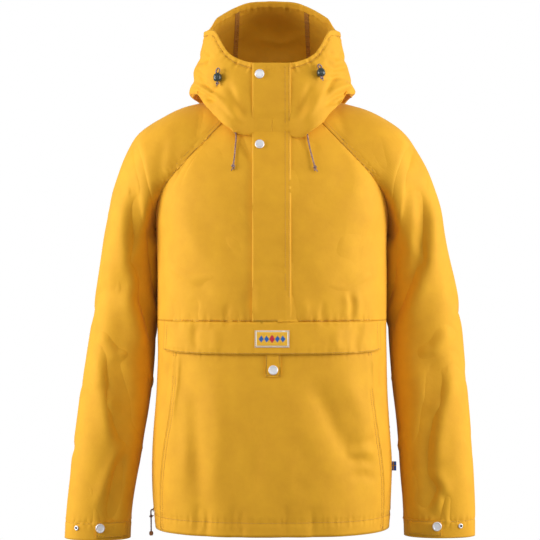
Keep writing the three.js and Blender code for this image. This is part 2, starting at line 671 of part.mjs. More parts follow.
const onLaid = LAID + WALL + SEAM; // from a panel up to what sits on a piece laid on it
snapCap('snap_placket_top', spotAt(placketGrid, -20.7, 60), PLACKET_OFF + WALL + SEAM);
snapCap('snap_placket_low', spotAt(placketGrid, -22, -56.5), PLACKET_OFF + WALL + SEAM);
const tabFace = onFront([TAB.from, 0, TAB.to], [TAB.bottom, TAB.top]);
snapCap('snap_pocket_tab', spotAt(tabFace, 1, -421.5), onLaid + 0.2);

// Cuff tabs, over the front of each wrist to the side next to the body

function cuff(side, grid, studTurn) {
  const rowAt = (z) => {
    const last = grid.length - 1;
    const [above, below] = [grid[last - 1][0].z, grid[last][0].z];
    return last - 1 + (z - above) / (below - above);
  };
  const columnAt = (turn) => {
    const k = ARM_COLUMNS - turn / (360 / AROUND);
    return side === 'left' ? k : AROUND - 1 - k;
  };
  const bottom = grid[grid.length - 1][0].z;
  const turns = side === 'left' ? [90, 75, 60, 45, 30] : [30, 45, 60, 75, 90];
  const levels = [bottom + 29, grid[grid.length - 2][0].z, bottom + 4].sort((a, b) => b - a);
  const tab = levels.map((z) => turns.map((turn) => spot(grid, rowAt(z), columnAt(turn)).point));
  laid(`cuff_tab_${side}`, tab, LAID);
  snapCap(`snap_cuff_${side}`, spot(grid, rowAt(bottom + 20), columnAt(82.6)), onLaid + 0.4);
  snapStud(`stud_cuff_${side}`, spot(grid, rowAt(bottom + 20), columnAt(studTurn)));
}
cuff('left', sleeveLeft, 121);
cuff('right', reversed(sleeveRight), 125);

// Cords, with their knots, locks and bead

function tube(path, radius) {
  const sides = 8;
  const ring = Array.from({ length: sides }, (_, k) => new THREE.Vector2(
    radius * Math.cos((k * 2 * Math.PI) / sides), radius * Math.sin((k * 2 * Math.PI) / sides)));
  const curve = new THREE.CatmullRomCurve3(path);
  const steps = Math.max(4, Math.round(curve.getLength() / (radius * 4)));

  return new THREE.ExtrudeGeometry(new THREE.Shape(ring), { steps, extrudePath: curve });
}

const ball = (radius) => new THREE.SphereGeometry(radius, 10, 6);

// A point above the cloth at an x and z.
function over(grid, x, z, clearance) {
  const { point, way } = spotAt(grid, x, z);
  return point.clone().addScaledVector(way, clearance);
}

const EYELET = { radius: 3.6, height: 1.2 };
function eyelet(name, { point, way }) {
  const { radius: r, height: h } = EYELET;
  const ring = lathed([[0, 0], [r, 0], [r, h * 0.5], [r * 0.75, h], [0, h]], 12);
  seated(add(name, ring, STEEL), point, way, SEAM);
}

// The neck cords come out under the hood's fold and hang on the chest.
const NECK_CORDS = {
  right: { grid: mirrored(frontHalf), route: [[-57.5, -33], [-58.6, -44], [-59.6, -58], [-61, -75], [-62.6, -89]] },
  left: { grid: frontHalf, route: [[56.5, -33], [58.5, -45], [61.6, -62], [65.4, -78], [69, -91]] },
};
for (const [side, { grid, route }] of Object.entries(NECK_CORDS)) {
  const start = spotAt(grid, ...route[0]);
  eyelet(`eyelet_neck_${side}`, start);
  const lie = CORD_RADIUS + 0.6;
  const path = [
    start.point.clone().addScaledVector(start.way, EYELET.height + 2.5 * SEAM),
    start.point.clone().addScaledVector(start.way, EYELET.height + 2 * SEAM + 2.4 * CORD_RADIUS),
    ...route.slice(1).map(([x, z]) => over(grid, x, z, lie)),
  ];
  add(`cord_neck_${side}`, tube(path, CORD_RADIUS), CORD);
  const [end, before] = [path[path.length - 1], path[path.length - 2]];
  const onward = end.clone().sub(before).normalize();
  const knot = add(`knot_neck_${side}`, ball(KNOT_RADIUS), CORD);
  knot.position.copy(end).addScaledVector(onward, KNOT_RADIUS + SEAM);
  knot.position.y -= KNOT_RADIUS - lie + SEAM;
}

// The hem's cord, out of the tunnel at the wearer's right and down to its bead
const HEM_CORD = { z: -669, drop: 36, turn: -88 };
{
  const at = bodyPoint(HEM_CORD.turn, HEM_CORD.z);
  const way = new THREE.Vector3(-1, 0, 0);
  eyelet('eyelet_hem', { point: at, way });
  const out = EYELET.height + 2.5 * SEAM;
  const path = [
    at.clone().addScaledVector(way, out),
    at.clone().addScaledVector(way, out + 2 * CORD_RADIUS),
    at.clone().add(new THREE.Vector3(-out - 2.6 * CORD_RADIUS, 0, -HEM_CORD.drop * 0.25)),
    at.clone().add(new THREE.Vector3(-out - 2.2 * CORD_RADIUS, 0, -HEM_CORD.drop * 0.6)),
    at.clone().add(new THREE.Vector3(-out - 2 * CORD_RADIUS, 0, -HEM_CORD.drop)),
  ];
  add('cord_hem', tube(path, CORD_RADIUS), CORD);
  const bead = lathed([[0, 0], [2.4, 0], [3.6, 3.5], [2.6, 7.5], [0, 7.5]], 12);
  add('bead_hem', bead, CORD).position.copy(path[4]).add(new THREE.Vector3(0, 0, -7.5 - SEAM));
}

// The hood's cord locks, each with the loop of drawcord above it and its tail below
const LOCKS = {
  left: { grid: hoodLeft, x: 78.5, z: 62, tail: -5 },
  right: { grid: hoodRight, x: -86, z: 56.5, tail: 5 },
};
const LOCK_SIZE = { radius: 5.4, length: 14 };
for (const [side, { grid, x, z, tail }] of Object.entries(LOCKS)) {
  const { radius: r, length: h } = LOCK_SIZE;
  const { point, way } = spotAt(grid, x, z);
  const up = new THREE.Vector3(0, 0, 1).addScaledVector(way, -way.z).normalize();
  const body = lathed([[0, -h / 2], [r * 0.75, -h / 2], [r, -h * 0.3], [r, h * 0.22],
    [r * 0.62, h * 0.3], [r * 0.62, h / 2], [0, h / 2]], 12);
  const lock = seated(add(`cord_lock_${side}`, body, LOCK), point, up, 0);
  lock.position.addScaledVector(way, r + SEAM);
  const from = lock.position.clone().addScaledVector(up, h / 2 + SEAM);
  const across = way.clone().cross(up);
  add(`cord_loop_${side}`, tube([
    from,
    from.clone().addScaledVector(up, 5).addScaledVector(across, 1.5),
    from.clone().addScaledVector(up, 8).addScaledVector(way, -1),
    over(grid, point.x, point.z + 17, CORD_RADIUS + SEAM + 0.6),
  ], CORD_RADIUS), CORD);
  const low = lock.position.clone().addScaledVector(up, -h / 2 - SEAM);
  add(`cord_tail_${side}`, tube([
    low,
    low.clone().addScaledVector(up, -5).addScaledVector(across, tail * 0.3),
    low.clone().addScaledVector(up, -10).addScaledVector(across, tail * 0.8),
  ], CORD_RADIUS), CORD);
}

// The flag label stands out of the wearer's left side seam
const LABEL = { wide: 8, tall: 15.6, thick: 1, z: -595 };
{
  const flag = new THREE.BoxGeometry(LABEL.wide, LABEL.thick, LABEL.tall);
  const mesh = add('flag_label', flag, { color: 0x1e4a9c, roughness: 0.8, metalness: 0 });
  const edge = Math.max(...[-0.5, 0, 0.5].map((t) => bodyPoint(90, LABEL.z + t * LABEL.tall).x));
  mesh.position.set(edge + SEAM + LABEL.wide / 2, 0, LABEL.z);
}

export default anorak;
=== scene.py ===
"""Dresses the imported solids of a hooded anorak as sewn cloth, with its snaps, cords and light."""

import json
import math

import bmesh
import bpy
import numpy as np
from mathutils import Matrix, Vector
from mathutils.bvhtree import BVHTree
from mathutils.kdtree import KDTree

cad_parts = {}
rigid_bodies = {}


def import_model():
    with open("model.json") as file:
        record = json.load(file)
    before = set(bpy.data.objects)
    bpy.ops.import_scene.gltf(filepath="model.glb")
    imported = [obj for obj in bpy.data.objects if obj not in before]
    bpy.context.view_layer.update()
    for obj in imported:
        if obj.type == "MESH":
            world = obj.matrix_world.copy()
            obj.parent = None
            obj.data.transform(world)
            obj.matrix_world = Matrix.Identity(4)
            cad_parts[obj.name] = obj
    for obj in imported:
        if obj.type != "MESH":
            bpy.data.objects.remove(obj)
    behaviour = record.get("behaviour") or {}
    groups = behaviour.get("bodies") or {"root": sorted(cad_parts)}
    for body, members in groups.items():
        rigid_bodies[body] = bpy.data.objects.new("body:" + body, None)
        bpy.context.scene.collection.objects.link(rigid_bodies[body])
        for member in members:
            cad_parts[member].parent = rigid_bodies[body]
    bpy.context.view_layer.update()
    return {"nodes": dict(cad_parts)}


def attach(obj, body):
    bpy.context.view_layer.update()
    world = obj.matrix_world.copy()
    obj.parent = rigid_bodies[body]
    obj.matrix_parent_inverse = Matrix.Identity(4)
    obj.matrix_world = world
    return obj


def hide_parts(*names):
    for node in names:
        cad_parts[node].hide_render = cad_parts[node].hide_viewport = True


bl_info = {
    "name": "Anorak pullover",
    "version": (1, 0, 0),
    "blender": (4, 5, 0),
    "location": "View3D > Sidebar > Anorak",
    "description": "Sews a hooded anorak on its packed solids and lights it",
    "category": "Add Mesh",
}

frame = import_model()
NODES = frame["nodes"]
MM = 0.001

# The camera stands in front, level with the chest, and the picture is 540 units wide.
CAMERA = {"x": -0.0033, "y": -3.1, "z": -0.261, "lens": 121.2, "sensor": 36.0, "picture": 540}


def rows(names, values):
    """A table as a list of records. A line with a star is read for the left and then for the right."""
    table = []
    for line in values:
        starred = any(isinstance(value, str) and "*" in value for value in line)
        for side in ("left", "right") if starred else ("",):
            line_here = [v.replace("*", side) if isinstance(v, str) else v for v in line]
            table.append(dict(zip(names, line_here)))
    return table


# The cloth

# Each piece of cloth: its solid, its name, how often its cells are halved, its cut in metres, the area
# of that cut where it isn't a full rectangle, and how it is held.
CLOTH = rows(("node", "name", "levels", "flat", "area", "held"), [
    ("patch", "woven_patch", 4, (0.056, 0.0275), None, "stretched"),
    ("front_upper_*", "upper_front_cloth_*", 3, (0.30, 0.36), 0.080, "stretched"),
    ("front_lower", "pouch_front_cloth", 3, (0.38, 0.36), None, "hung"),
    ("side_front_*", "side_front_cloth_*", 3, (0.12, 0.36), 0.038, "hung"),
    ("back", "back_cloth", 3, (0.62, 0.76), 0.38, "hung"),
    ("sleeve_left", "sleeve_cloth_left", 3, (0.50, 0.80), 0.29, "hung"),
    ("sleeve_right", "sleeve_cloth_right", 3, (0.50, 0.80), 0.28, "hung"),
    ("hood_*", "hood_cloth_*", 3, (0.30, 0.34), 0.062, "gathered"),
    ("hood_centre", "hood_cloth_centre", 3, (0.16, 0.34), 0.046, "gathered"),
    ("hood_tunnel", "hood_hem", 3, (0.72, 0.012), None, "gathered"),
    ("placket", "placket_cloth", 3, (0.064, 0.45), None, "stretched"),
    ("pocket_flap", "flap_cloth", 2, (0.40, 0.055), None, "stretched"),
    ("pocket_tab", "closing_tab", 3, (0.026, 0.044), None, "stretched"),
    ("cuff_tab_*", "wrist_tab_*", 3, (0.06, 0.026), None, "stretched"),
])
NAMES = {row["node"]: row["name"] for row in CLOTH}

# Lines inside the garment that the cloth goes round, for telling its outside from its inside.
BODY_LINE = np.array([(0, 0, -800), (0, 0, -60), (0, -12, 0), (0, -18, 80)]) * MM
ARM_LINE = np.array([
    (60, 0, -60), (130, 0, -110), (200, 10, -170), (245, 22, -240), (258, 24, -320),
    (262, 15, -400), (270, 3, -480), (280, -6, -560), (290, -18, -668), (292, -22, -760),
]) * MM
# A wall's rim is the narrow faces between its two sides, with a sharp edge along each.
RIM_FACE = 4.8 * MM
RIM_ANGLE = math.radians(35)
CORNER_ANGLE = math.radians(25)
# Triangles make one four-sided cell up to this bend.
CELL_ANGLE = math.radians(75)
# Points of one wall this near each other are one.
DOUBLES = 2e-6
# Points of two pieces this near each other share one way out.
SEAM_REACH = 1.0 * MM
# Neighbouring cells blend up to this bend.
SMOOTH_ANGLE = math.radians(50)


def centre_line(node):
    """The line that a piece goes round."""
    if node.startswith("sleeve") or "cuff" in node:
        side = 1 if node.endswith("left") else -1
        return ARM_LINE * np.array([side, 1, 1])
    return BODY_LINE


def nearest_on_line(points, line):
    """The nearest point on a broken line to each point."""
    best = np.full(len(points), np.inf)
    found = np.zeros_like(points)
    for a, b in zip(line[:-1], line[1:]):
        t = np.clip(((points - a) @ (b - a)) / ((b - a) @ (b - a)), 0, 1)
        on = a + t[:, None] * (b - a)
        away = np.linalg.norm(points - on, axis=1)
        closer = away < best
        best[closer] = away[closer]
        found[closer] = on[closer]
    return found


def only(piece):
    """Makes a piece the one that is selected and active."""
    bpy.ops.object.select_all(action="DESELECT")
    piece.select_set(True)
    bpy.context.view_layer.objects.active = piece


def merged_copy(node, name):
    """A copy of a solid with its doubles merged and its triangles paired to four-sided cells."""
    piece = bpy.data.objects.new(name, NODES[node].data.copy())
    piece.data.name = name
    piece.data.materials.clear()
    bpy.context.scene.collection.objects.link(piece)
    only(piece)
    bpy.ops.object.mode_set(mode="EDIT")
    bpy.ops.mesh.select_all(action="SELECT")
    bpy.ops.mesh.remove_doubles(threshold=DOUBLES)
    bpy.ops.mesh.tris_convert_to_quads(face_threshold=CELL_ANGLE, shape_threshold=CELL_ANGLE)
    bpy.ops.object.mode_set(mode="OBJECT")
    return piece


def new_piece(name, points, faces):
    """An object from points and faces."""
    mesh = bpy.data.meshes.new(name)
    mesh.from_pydata(np.asarray(points).reshape(-1, 3).tolist(), [], faces)
    mesh.update()
    piece = bpy.data.objects.new(name, mesh)
    bpy.context.scene.collection.objects.link(piece)
    return piece


def read_wall(piece, node):
    """Creases the rim of a wall, and gives the points of its outer side with the way out at each."""
    mesh = bmesh.new()
    mesh.from_mesh(piece.data)
    mesh.normal_update()
    mesh.verts.ensure_lookup_table()
    crease = mesh.edges.layers.float.get("crease_edge") or mesh.edges.layers.float.new("crease_edge")

    def is_rim(face):
        lengths = sorted(face.edges, key=lambda e: e.calc_length())
        sharp = [e for e in lengths[-2:] if e.is_manifold and e.calc_face_angle() > RIM_ANGLE]
        return lengths[0].calc_length() < RIM_FACE and len(sharp) == 2

    rim = {face for face in mesh.faces if is_rim(face)}
    for edge in mesh.edges:
        in_rim = [face in rim for face in edge.link_faces]
        corner = all(in_rim) and edge.calc_face_angle() > CORNER_ANGLE
        if corner or (any(in_rim) and not all(in_rim)):
            edge[crease] = 1.0
    sheets = []
    left = set(mesh.faces) - rim
    while left:
        front = [left.pop()]
        sheet = list(front)
        while front:
            face = front.pop()
            for near in {f for e in face.edges for f in e.link_faces} & left:
                left.discard(near)
                front.append(near)
                sheet.append(near)
        sheets.append(sheet)
    line = centre_line(node)

    def looks_out(sheet):
        middles = np.array([f.calc_center_median() for f in sheet])
        ways = np.array([f.normal * f.calc_area() for f in sheet])
        return ((middles - nearest_on_line(middles, line)) * ways).sum()

    outer = max(sheets, key=looks_out)
    ways = {}
    for face in outer:
        for vertex in face.verts:
            ways[vertex.index] = ways.get(vertex.index, Vector()) + face.normal * face.calc_area()
    places = [mesh.verts[k].co.copy() for k in ways]
    mesh.to_mesh(piece.data)
    mesh.free()
    return places, [way.normalized() for way in ways.values()]


def tree_of(places):
    """A tree for finding the nearest of some places."""
    tree = KDTree(len(places))
    for k, place in enumerate(places):
        tree.insert(place, k)
    tree.balance()
    return tree


def set_ways(pieces, walls):
    """Gives each point of every wall one way out, shared by the pieces that meet at a seam."""
    places = [p for node in walls for p in walls[node][0]]
    ways = [w for node in walls for w in walls[node][1]]
    every = tree_of(places)
    shared = []
    for place in places:
        total = Vector()
        for _, k, _ in every.find_range(place, SEAM_REACH):
            total += ways[k]
        shared.append(total.normalized())
    start = 0
    for node, piece in pieces.items():
        count = len(walls[node][0])
        own = tree_of(places[start:start + count])
        found = [shared[start + own.find(vertex.co)[1]] for vertex in piece.data.vertices]
        layer = piece.data.attributes.new("way", "FLOAT_VECTOR", "POINT")
        layer.data.foreach_set("vector", np.array(found, np.float32).ravel())
        start += count


def halve_cells(piece, levels):
    """Halves a piece's cells into a smooth surface."""
    only(piece)
    modifier = piece.modifiers.new("cells", "SUBSURF")
    modifier.levels = levels
    modifier.render_levels = levels
    bpy.ops.object.modifier_apply(modifier="cells")


def read_all(items, key, width=1, kind=np.float32):
    """One value or vector of every item of a mesh, as an array."""
    values = np.zeros(len(items) * width, kind)
    items.foreach_get(key, values)
    return values.reshape(-1, width) if width > 1 else values


def unit(vectors):
    """Vectors at a length of one."""
    return vectors / np.maximum(np.linalg.norm(vectors, axis=1), 1e-9)[:, None]


def read_points(piece):
    return read_all(piece.data.vertices, "co", 3).astype(float)


def read_ways(piece):
    """The way out at each point."""
    return unit(read_all(piece.data.attributes["way"].data, "vector", 3).astype(float))


# Creases in the cloth, each on the pieces whose solids' names start so. A front one is a line of
# picture points. One on another side is in millimetres: x and z at the back, y and z at a side. Its
# width and depth are in millimetres, and a depth below nought stands out. A lean makes it a step,
# higher on the left of the line as drawn.
CREASE = ("width", "depth", "lean", "line")


def creases(on, side, table):
    """Creases on the solids whose names start so, on one side of the garment."""
    return [{"on": on, "side": side, **crease} for crease in rows(CREASE, table)]


BODY = ("front", "side", "back", "pocket", "patch")
SHOULDER = ("front", "side", "back", "sleeve")
CREASES = [
    *creases(BODY, "front", [
        # the lower front's soft folds
        (13, 3.4, 0, [(176, 360), (192, 402), (200, 510)]),
        (15, 3.6, 0, [(316, 386), (336, 430), (358, 466)]),
        (13, -3.0, 0, [(187, 372), (188, 430), (186, 480)]),
        (16, -2.6, 0, [(212, 372), (220, 430), (214, 500)]),
        (16, -3.0, 0, [(344, 376), (364, 416), (362, 470)]),
        (12, 2.2, 0, [(244, 400), (258, 440), (254, 492)]),
        (14, 1.8, 0, [(306, 440), (298, 480), (310, 500)]),
        (7, 2.0, 0, [(352, 446), (366, 441), (376, 440)]),
        (6, 2.2, 0, [(350, 462), (362, 460), (374, 464)]),
        (6, -1.8, 0, [(348, 454), (362, 451), (376, 453)]),
        (7, 2.0, 0, [(352, 477), (364, 475), (376, 479)]),
        # the hem's gathers
        (6, 1.6, 0, [(197, 506), (198, 518), (197, 534)]),
        (5, 1.2, 0, [(206, 510), (207, 520), (206, 536)]),
        (6, 1.4, 0, [(234, 508), (233, 520), (234, 538)]),
        (4, 1.2, 0, [(242, 512), (243, 522), (242, 538)]),
        (6, 1.5, 0, [(286, 508), (287, 520), (285, 538)]),
        (5, 1.2, 0, [(312, 510), (312, 520), (313, 538)]),
    ]),
    *creases("side", "front", [
        # the hand pockets' mouths: the side panel is sunk, and the front's edge stands over it
        (5, 3.4, 0, [(169, 358), (167, 388), (163, 418)]),
        (5, 3.4, 0, [(382, 358), (383, 374), (383, 392)]),
    ]),
    *creases("front_lower", "front", [
        (3, -1.6, 0, [(179, 356), (177, 388), (173, 418)]),
        (3, -1.6, 0, [(373, 356), (374, 374), (374, 392)]),
    ]),
    *creases(SHOULDER, "front", [
        # the chest
        (16, 1.9, 0, [(190, 214), (218, 236), (248, 254)]),
        (14, 1.7, 0, [(352, 178), (331, 192), (310, 206)]),
    ]),
    *creases(BODY, "front", [
        (13, -1.4, 0, [(184, 240), (210, 262), (238, 280)]),
        (10, 1.2, 0, [(170, 262), (190, 280), (214, 296)]),
        (15, 1.5, 0, [(374, 226), (346, 245), (318, 264)]),
        (12, -1.4, 0, [(380, 236), (379, 260), (378, 286)]),
        (6, -2.4, 0, [(344, 292), (347, 304), (345, 318)]),
        (6, -2.4, 0, [(356, 292), (358, 304), (357, 320)]),
        (5, 2.0, 0, [(350, 294), (352, 306), (351, 320)]),
        (6, 2.4, 0, [(196, 300), (194, 314), (196, 322)]),
        (6, 2.0, 0, [(174, 300), (178, 314), (178, 332)]),
        (6, 2.2, 0, [(228, 304), (226, 316), (229, 326)]),
        (6, -1.8, 0, [(304, 300), (306, 312), (304, 322)]),
        (5, 2.2, 0, [(324, 304), (322, 314), (325, 326)]),
    ]),
    *creases("pocket_flap", "front", [
        # the flap
        (6, 2.2, 0, [(196, 326), (194, 338), (197, 350)]),
        (7, 2.6, 0, [(362, 326), (357, 338), (356, 352)]),
        (8, -1.8, 0, [(214, 330), (216, 340), (214, 352)]),
        (8, -2.0, 0, [(338, 328), (336, 340), (338, 352)]),
    ]),
    *creases("placket", "front", [
        # the placket, with its sewn edge flush and its open edge lifted at the foot
        (3.4, 2.8, 0, [(292.4, 66), (292.4, 190), (292.4, 322)]),
        (8, 1.0, 0, [(254, 117), (270, 121), (288, 119)]),
        (9, 1.0, 0, [(254, 160), (272, 162), (288, 158)]),
        (12, 1.1, 0, [(254, 206), (272, 212), (288, 208)]),
        (8, 1.0, 0, [(254, 270), (272, 268), (288, 272)]),
        (8, -0.9, 0, [(254, 236), (272, 239), (288, 236)]),
        (6, -3.4, 0, [(252, 284), (252, 300), (252, 316)]),
        (7, -1.6, 0, [(252, 176), (252, 200), (252, 226)]),
    ]),
    *creases(("front", "sleeve"), "front", [
        # under the hood, and from the neck cords
        (6, 3.0, 0, [(237, 130), (244, 146), (252, 160)]),
        (7, 2.2, 0, [(296, 132), (304, 142), (320, 146)]),
        (6, 1.5, 0, [(203, 108), (200, 124), (196, 138)]),
        (6, 1.3, 0, [(336, 106), (341, 121), (346, 134)]),
        (9, 1.3, 0, [(165, 136), (161, 158), (158, 180)]),
        (9, -0.9, 0, [(171, 136), (169, 156), (166, 178)]),
        (9, 1.1, 0, [(376, 134), (381, 152), (386, 172)]),
    ]),
    *creases("sleeve", "front", [
        # the sleeves
        (7, 6.0, 0, [(134, 142), (147, 200), (155, 232), (158, 262)]),
        (8, 6.0, 0, [(414, 141), (403, 172), (395, 214), (390, 240)]),
        (15, 8.0, 1, [(130, 196), (134, 260), (148, 318)]),
        (14, 6.5, 1, [(130, 290), (142, 318), (152, 346)]),
        (13, 5.5, 1, [(103, 352), (109, 392), (114, 424), (122, 446)]),
        (9, 6.0, 0, [(121, 454), (116, 484), (110, 520)]),
        (11, -4.0, 0, [(124, 440), (110, 470), (97, 506)]),
        (7, 2.6, 0, [(140, 300), (150, 308), (156, 322)]),
        (6, 2.4, 0, [(96, 388), (108, 392), (118, 404)]),
        (6, 2.2, 0, [(120, 424), (132, 430), (140, 442)]),
        (16, 8.5, -1, [(427, 190), (421, 258), (398, 318)]),
        (13, 5.5, -1, [(446, 372), (437, 410), (431, 440), (428, 474)]),
        (11, 5.0, -1, [(428, 474), (438, 488), (428, 510)]),
        (7, 3.0, 0, [(452, 330), (440, 344), (424, 352)]),
        (7, 2.6, 0, [(456, 352), (446, 362), (430, 368)]),
        (6, 2.6, 0, [(440, 492), (446, 500), (444, 514)]),
    ]),
    *creases("sleeve_left", "right", [
        # the sleeves bulge towards the body
        (26, -6.0, 0, [(-14, -206), (-6, -240), (0, -300)]),
        (30, -8.0, 0, [(16, -176), (18, -208), (18, -240)]),
        (24, -5.0, 0, [(14, -290), (12, -312), (10, -336)]),
    ]),
    *creases("sleeve_right", "left", [
        (26, -6.0, 0, [(-14, -206), (-6, -240), (0, -300)]),
        (30, -8.0, 0, [(16, -176), (18, -208), (18, -240)]),
    ]),
    *creases("hood", "front", [
        # the hood, bunched at its sides and round its cord locks
        (5, 4.4, 0, [(190, 66), (200, 62), (211, 55)]),
        (4, 4.2, 0, [(188, 68), (198, 73), (206, 84), (214, 92)]),
        (5, -3.0, 0, [(186, 78), (198, 84), (206, 95)]),
        (4, 3.4, 0, [(186, 82), (196, 82), (208, 87)]),
        (5, 4.4, 0, [(182, 91), (198, 90), (214, 99)]),
        (4, 3.0, 0, [(194, 102), (206, 98), (216, 101)]),
        (4, 3.2, 0, [(220, 84), (216, 89), (210, 92)]),
        (4, -2.4, 0, [(206, 92), (216, 96), (224, 102)]),
        (8, 4.6, 0, [(227, 83), (234, 98), (246, 118)]),
        (8, -3.0, 0, [(218, 98), (228, 110), (242, 124)]),
        (5, 2.6, 0, [(218, 104), (230, 116), (242, 126)]),
        (4, 2.6, 0, [(200, 48), (205, 58), (207, 66)]),
        (5, 4.2, 0, [(326, 61), (335, 69), (350, 66)]),
        (5, 3.8, 0, [(342, 72), (331, 83), (326, 94)]),
        (5, 4.4, 0, [(325, 105), (338, 96), (358, 89)]),
        (5, -3.0, 0, [(330, 92), (342, 87), (358, 82)]),
        (4, 3.4, 0, [(330, 104), (343, 101), (358, 99)]),
        (4, 3.2, 0, [(322, 80), (332, 77), (352, 77)]),
        (4, 3.0, 0, [(339, 60), (333, 55), (330, 50)]),
        (8, 4.2, 0, [(312, 82), (306, 98), (297, 116)]),
        (7, -3.0, 0, [(322, 92), (315, 106), (302, 122)]),
        # the gathers of the face opening
        (3, 1.6, 0, [(226, 2), (228, 9), (227, 16)]),
        (3, 1.8, 0, [(242, 0), (243, 6), (241, 13)]),
        (3, 1.5, 0, [(262, -2), (262, 4), (264, 11)]),
        (3, 1.8, 0, [(283, -2), (282, 5), (284, 12)]),
        (3, 1.6, 0, [(301, 0), (300, 7), (303, 14)]),
        (3, 1.8, 0, [(318, 8), (316, 14), (318, 20)]),
        (3, 1.7, 0, [(210, 12), (213, 18), (212, 25)]),
        (3, 1.6, 0, [(332, 16), (329, 22), (330, 29)]),
    ]),
    *creases("hood", "left", [
        (6, 2.6, 0, [(-70, 100), (-20, 92), (20, 110)]),
        (7, 3.0, 0, [(-60, 60), (0, 52), (50, 66)]),
        (6, 2.8, 0, [(-40, 30), (20, 34), (70, 24)]),
        (8, -2.4, 0, [(-50, 44), (10, 42), (60, 44)]),
    ]),
    *creases("hood", "right", [
        (6, 2.6, 0, [(-66, 96), (-16, 98), (26, 112)]),
        (7, 3.0, 0, [(-64, 58), (-4, 60), (52, 60)]),
        (6, 2.8, 0, [(-46, 32), (14, 30), (72, 20)]),
        (8, -2.4, 0, [(-56, 78), (0, 76), (50, 84)]),
    ]),
    *creases("hood", "back", [
        (8, 3.2, 0, [(-90, 70), (-40, 52), (0, 58), (46, 48), (96, 66)]),
        (7, 2.8, 0, [(-70, 26), (-20, 14), (34, 22), (80, 12)]),
        (9, -2.6, 0, [(-84, 46), (-30, 32), (30, 36), (86, 36)]),
        (8, 2.2, 0, [(-60, 120), (-14, 108), (40, 116)]),
        (7, 2.0, 0, [(-30, 150), (16, 142), (56, 152)]),
    ]),
    *creases(("back", "sleeve"), "back", [
        # the back
        (15, 3.6, 0, [(150, -140), (120, -220), (92, -330)]),
        (14, 3.2, 0, [(-146, -150), (-124, -232), (-84, -320)]),
    ]),
    *creases(BODY, "back", [
        (16, -3.0, 0, [(118, -120), (88, -220), (64, -320)]),
        (16, -2.8, 0, [(-112, -130), (-90, -210), (-52, -330)]),
        (18, 3.4, 0, [(30, -90), (10, -220), (22, -380), (4, -520)]),
        (14, 2.8, 0, [(-60, -330), (-72, -450), (-50, -600)]),
        (15, 3.0, 0, [(84, -360), (98, -470), (78, -620)]),
        (14, -2.8, 0, [(-104, -400), (-110, -520), (-96, -640)]),
        (13, 2.6, 0, [(-140, -430), (-150, -540), (-136, -660)]),
        (12, 2.6, 0, [(150, -470), (142, -560), (156, -660)]),
        (9, 2.6, 0, [(-180, -250), (-130, -276), (-70, -268)]),
        (9, 2.4, 0, [(176, -262), (120, -290), (60, -282)]),
        (6, 2.6, 0, [(-120, -640), (-118, -668), (-120, -694)]),
        (6, 2.4, 0, [(-64, -646), (-66, -668), (-64, -694)]),
        (6, 2.4, 0, [(12, -640), (10, -668), (12, -694)]),
        (6, 2.6, 0, [(70, -644), (72, -668), (70, -694)]),
        (6, 2.2, 0, [(128, -640), (126, -668), (128, -694)]),
    ]),
    *creases("sleeve", "back", [
        # the sleeves from behind and beside
        (13, 5.0, 0, [(232, -210), (262, -270), (250, -330)]),
        (12, 4.5, 0, [(300, -360), (270, -394), (244, -400)]),
        (12, 4.0, 0, [(316, -450), (290, -482), (262, -500)]),
        (9, 3.2, 0, [(300, -600), (292, -650), (286, -700)]),
        (13, 5.0, 0, [(-228, -220), (-254, -280), (-246, -344)]),
        (12, 4.5, 0, [(-292, -366), (-262, -402), (-236, -404)]),
        (12, 4.0, 0, [(-312, -440), (-286, -476), (-258, -498)]),
        (9, 3.2, 0, [(-306, -610), (-296, -654), (-290, -700)]),
    ]),
    *creases("sleeve_left", "left", [
        (13, 4.0, 0, [(-30, -300), (20, -340), (60, -352)]),
        (12, 3.6, 0, [(-34, -410), (6, -446), (50, -452)]),
        (10, 3.0, 0, [(-40, -530), (-10, -560), (26, -566)]),
    ]),
    *creases("sleeve_right", "right", [
        (13, 4.0, 0, [(-34, -290), (14, -336), (58, -344)]),
        (12, 3.6, 0, [(-36, -420), (2, -450), (48, -462)]),
        (10, 3.0, 0, [(-44, -540), (-12, -564), (24, -574)]),
    ]),
]


def line_field(u, v, line):
    """How far each place is from a line, which side of it, and how far along it, from 0 to 1."""
    points = np.array(line, float)
    lengths = np.linalg.norm(np.diff(points, axis=0), axis=1)
    total = lengths.sum()
    best = np.full(len(u), np.inf)
    side = np.zeros(len(u))
    along = np.zeros(len(u))
    start = 0.0
    for a, b, length in zip(points[:-1], points[1:], lengths):
        du, dv = (b - a) / length
        t = (u - a[0]) * du + (v - a[1]) * dv
        held = np.clip(t, 0, length)
        away = np.hypot(u - a[0] - held * du, v - a[1] - held * dv)
        closer = away < best
        best = np.where(closer, away, best)
        side = np.where(closer, (u - a[0]) * dv - (v - a[1]) * du, side)
        along = np.where(closer, (start + t) / total, along)
        start += length
    return best, np.sign(side), along


def rise(low, high, at):
    """A smooth step from 0 to 1 between two places."""
    t = np.clip((at - low) / (high - low), 0, 1)
    return t * t * (3 - 2 * t)


# Each side's way out, and which of x, y and z runs across it.
SIDES = {
    "front": {"facing": (0, -1, 0), "across": 0},
    "back": {"facing": (0, 1, 0), "across": 0},
    "left": {"facing": (1, 0, 0), "across": 1},
    "right": {"facing": (-1, 0, 0), "across": 1},
}


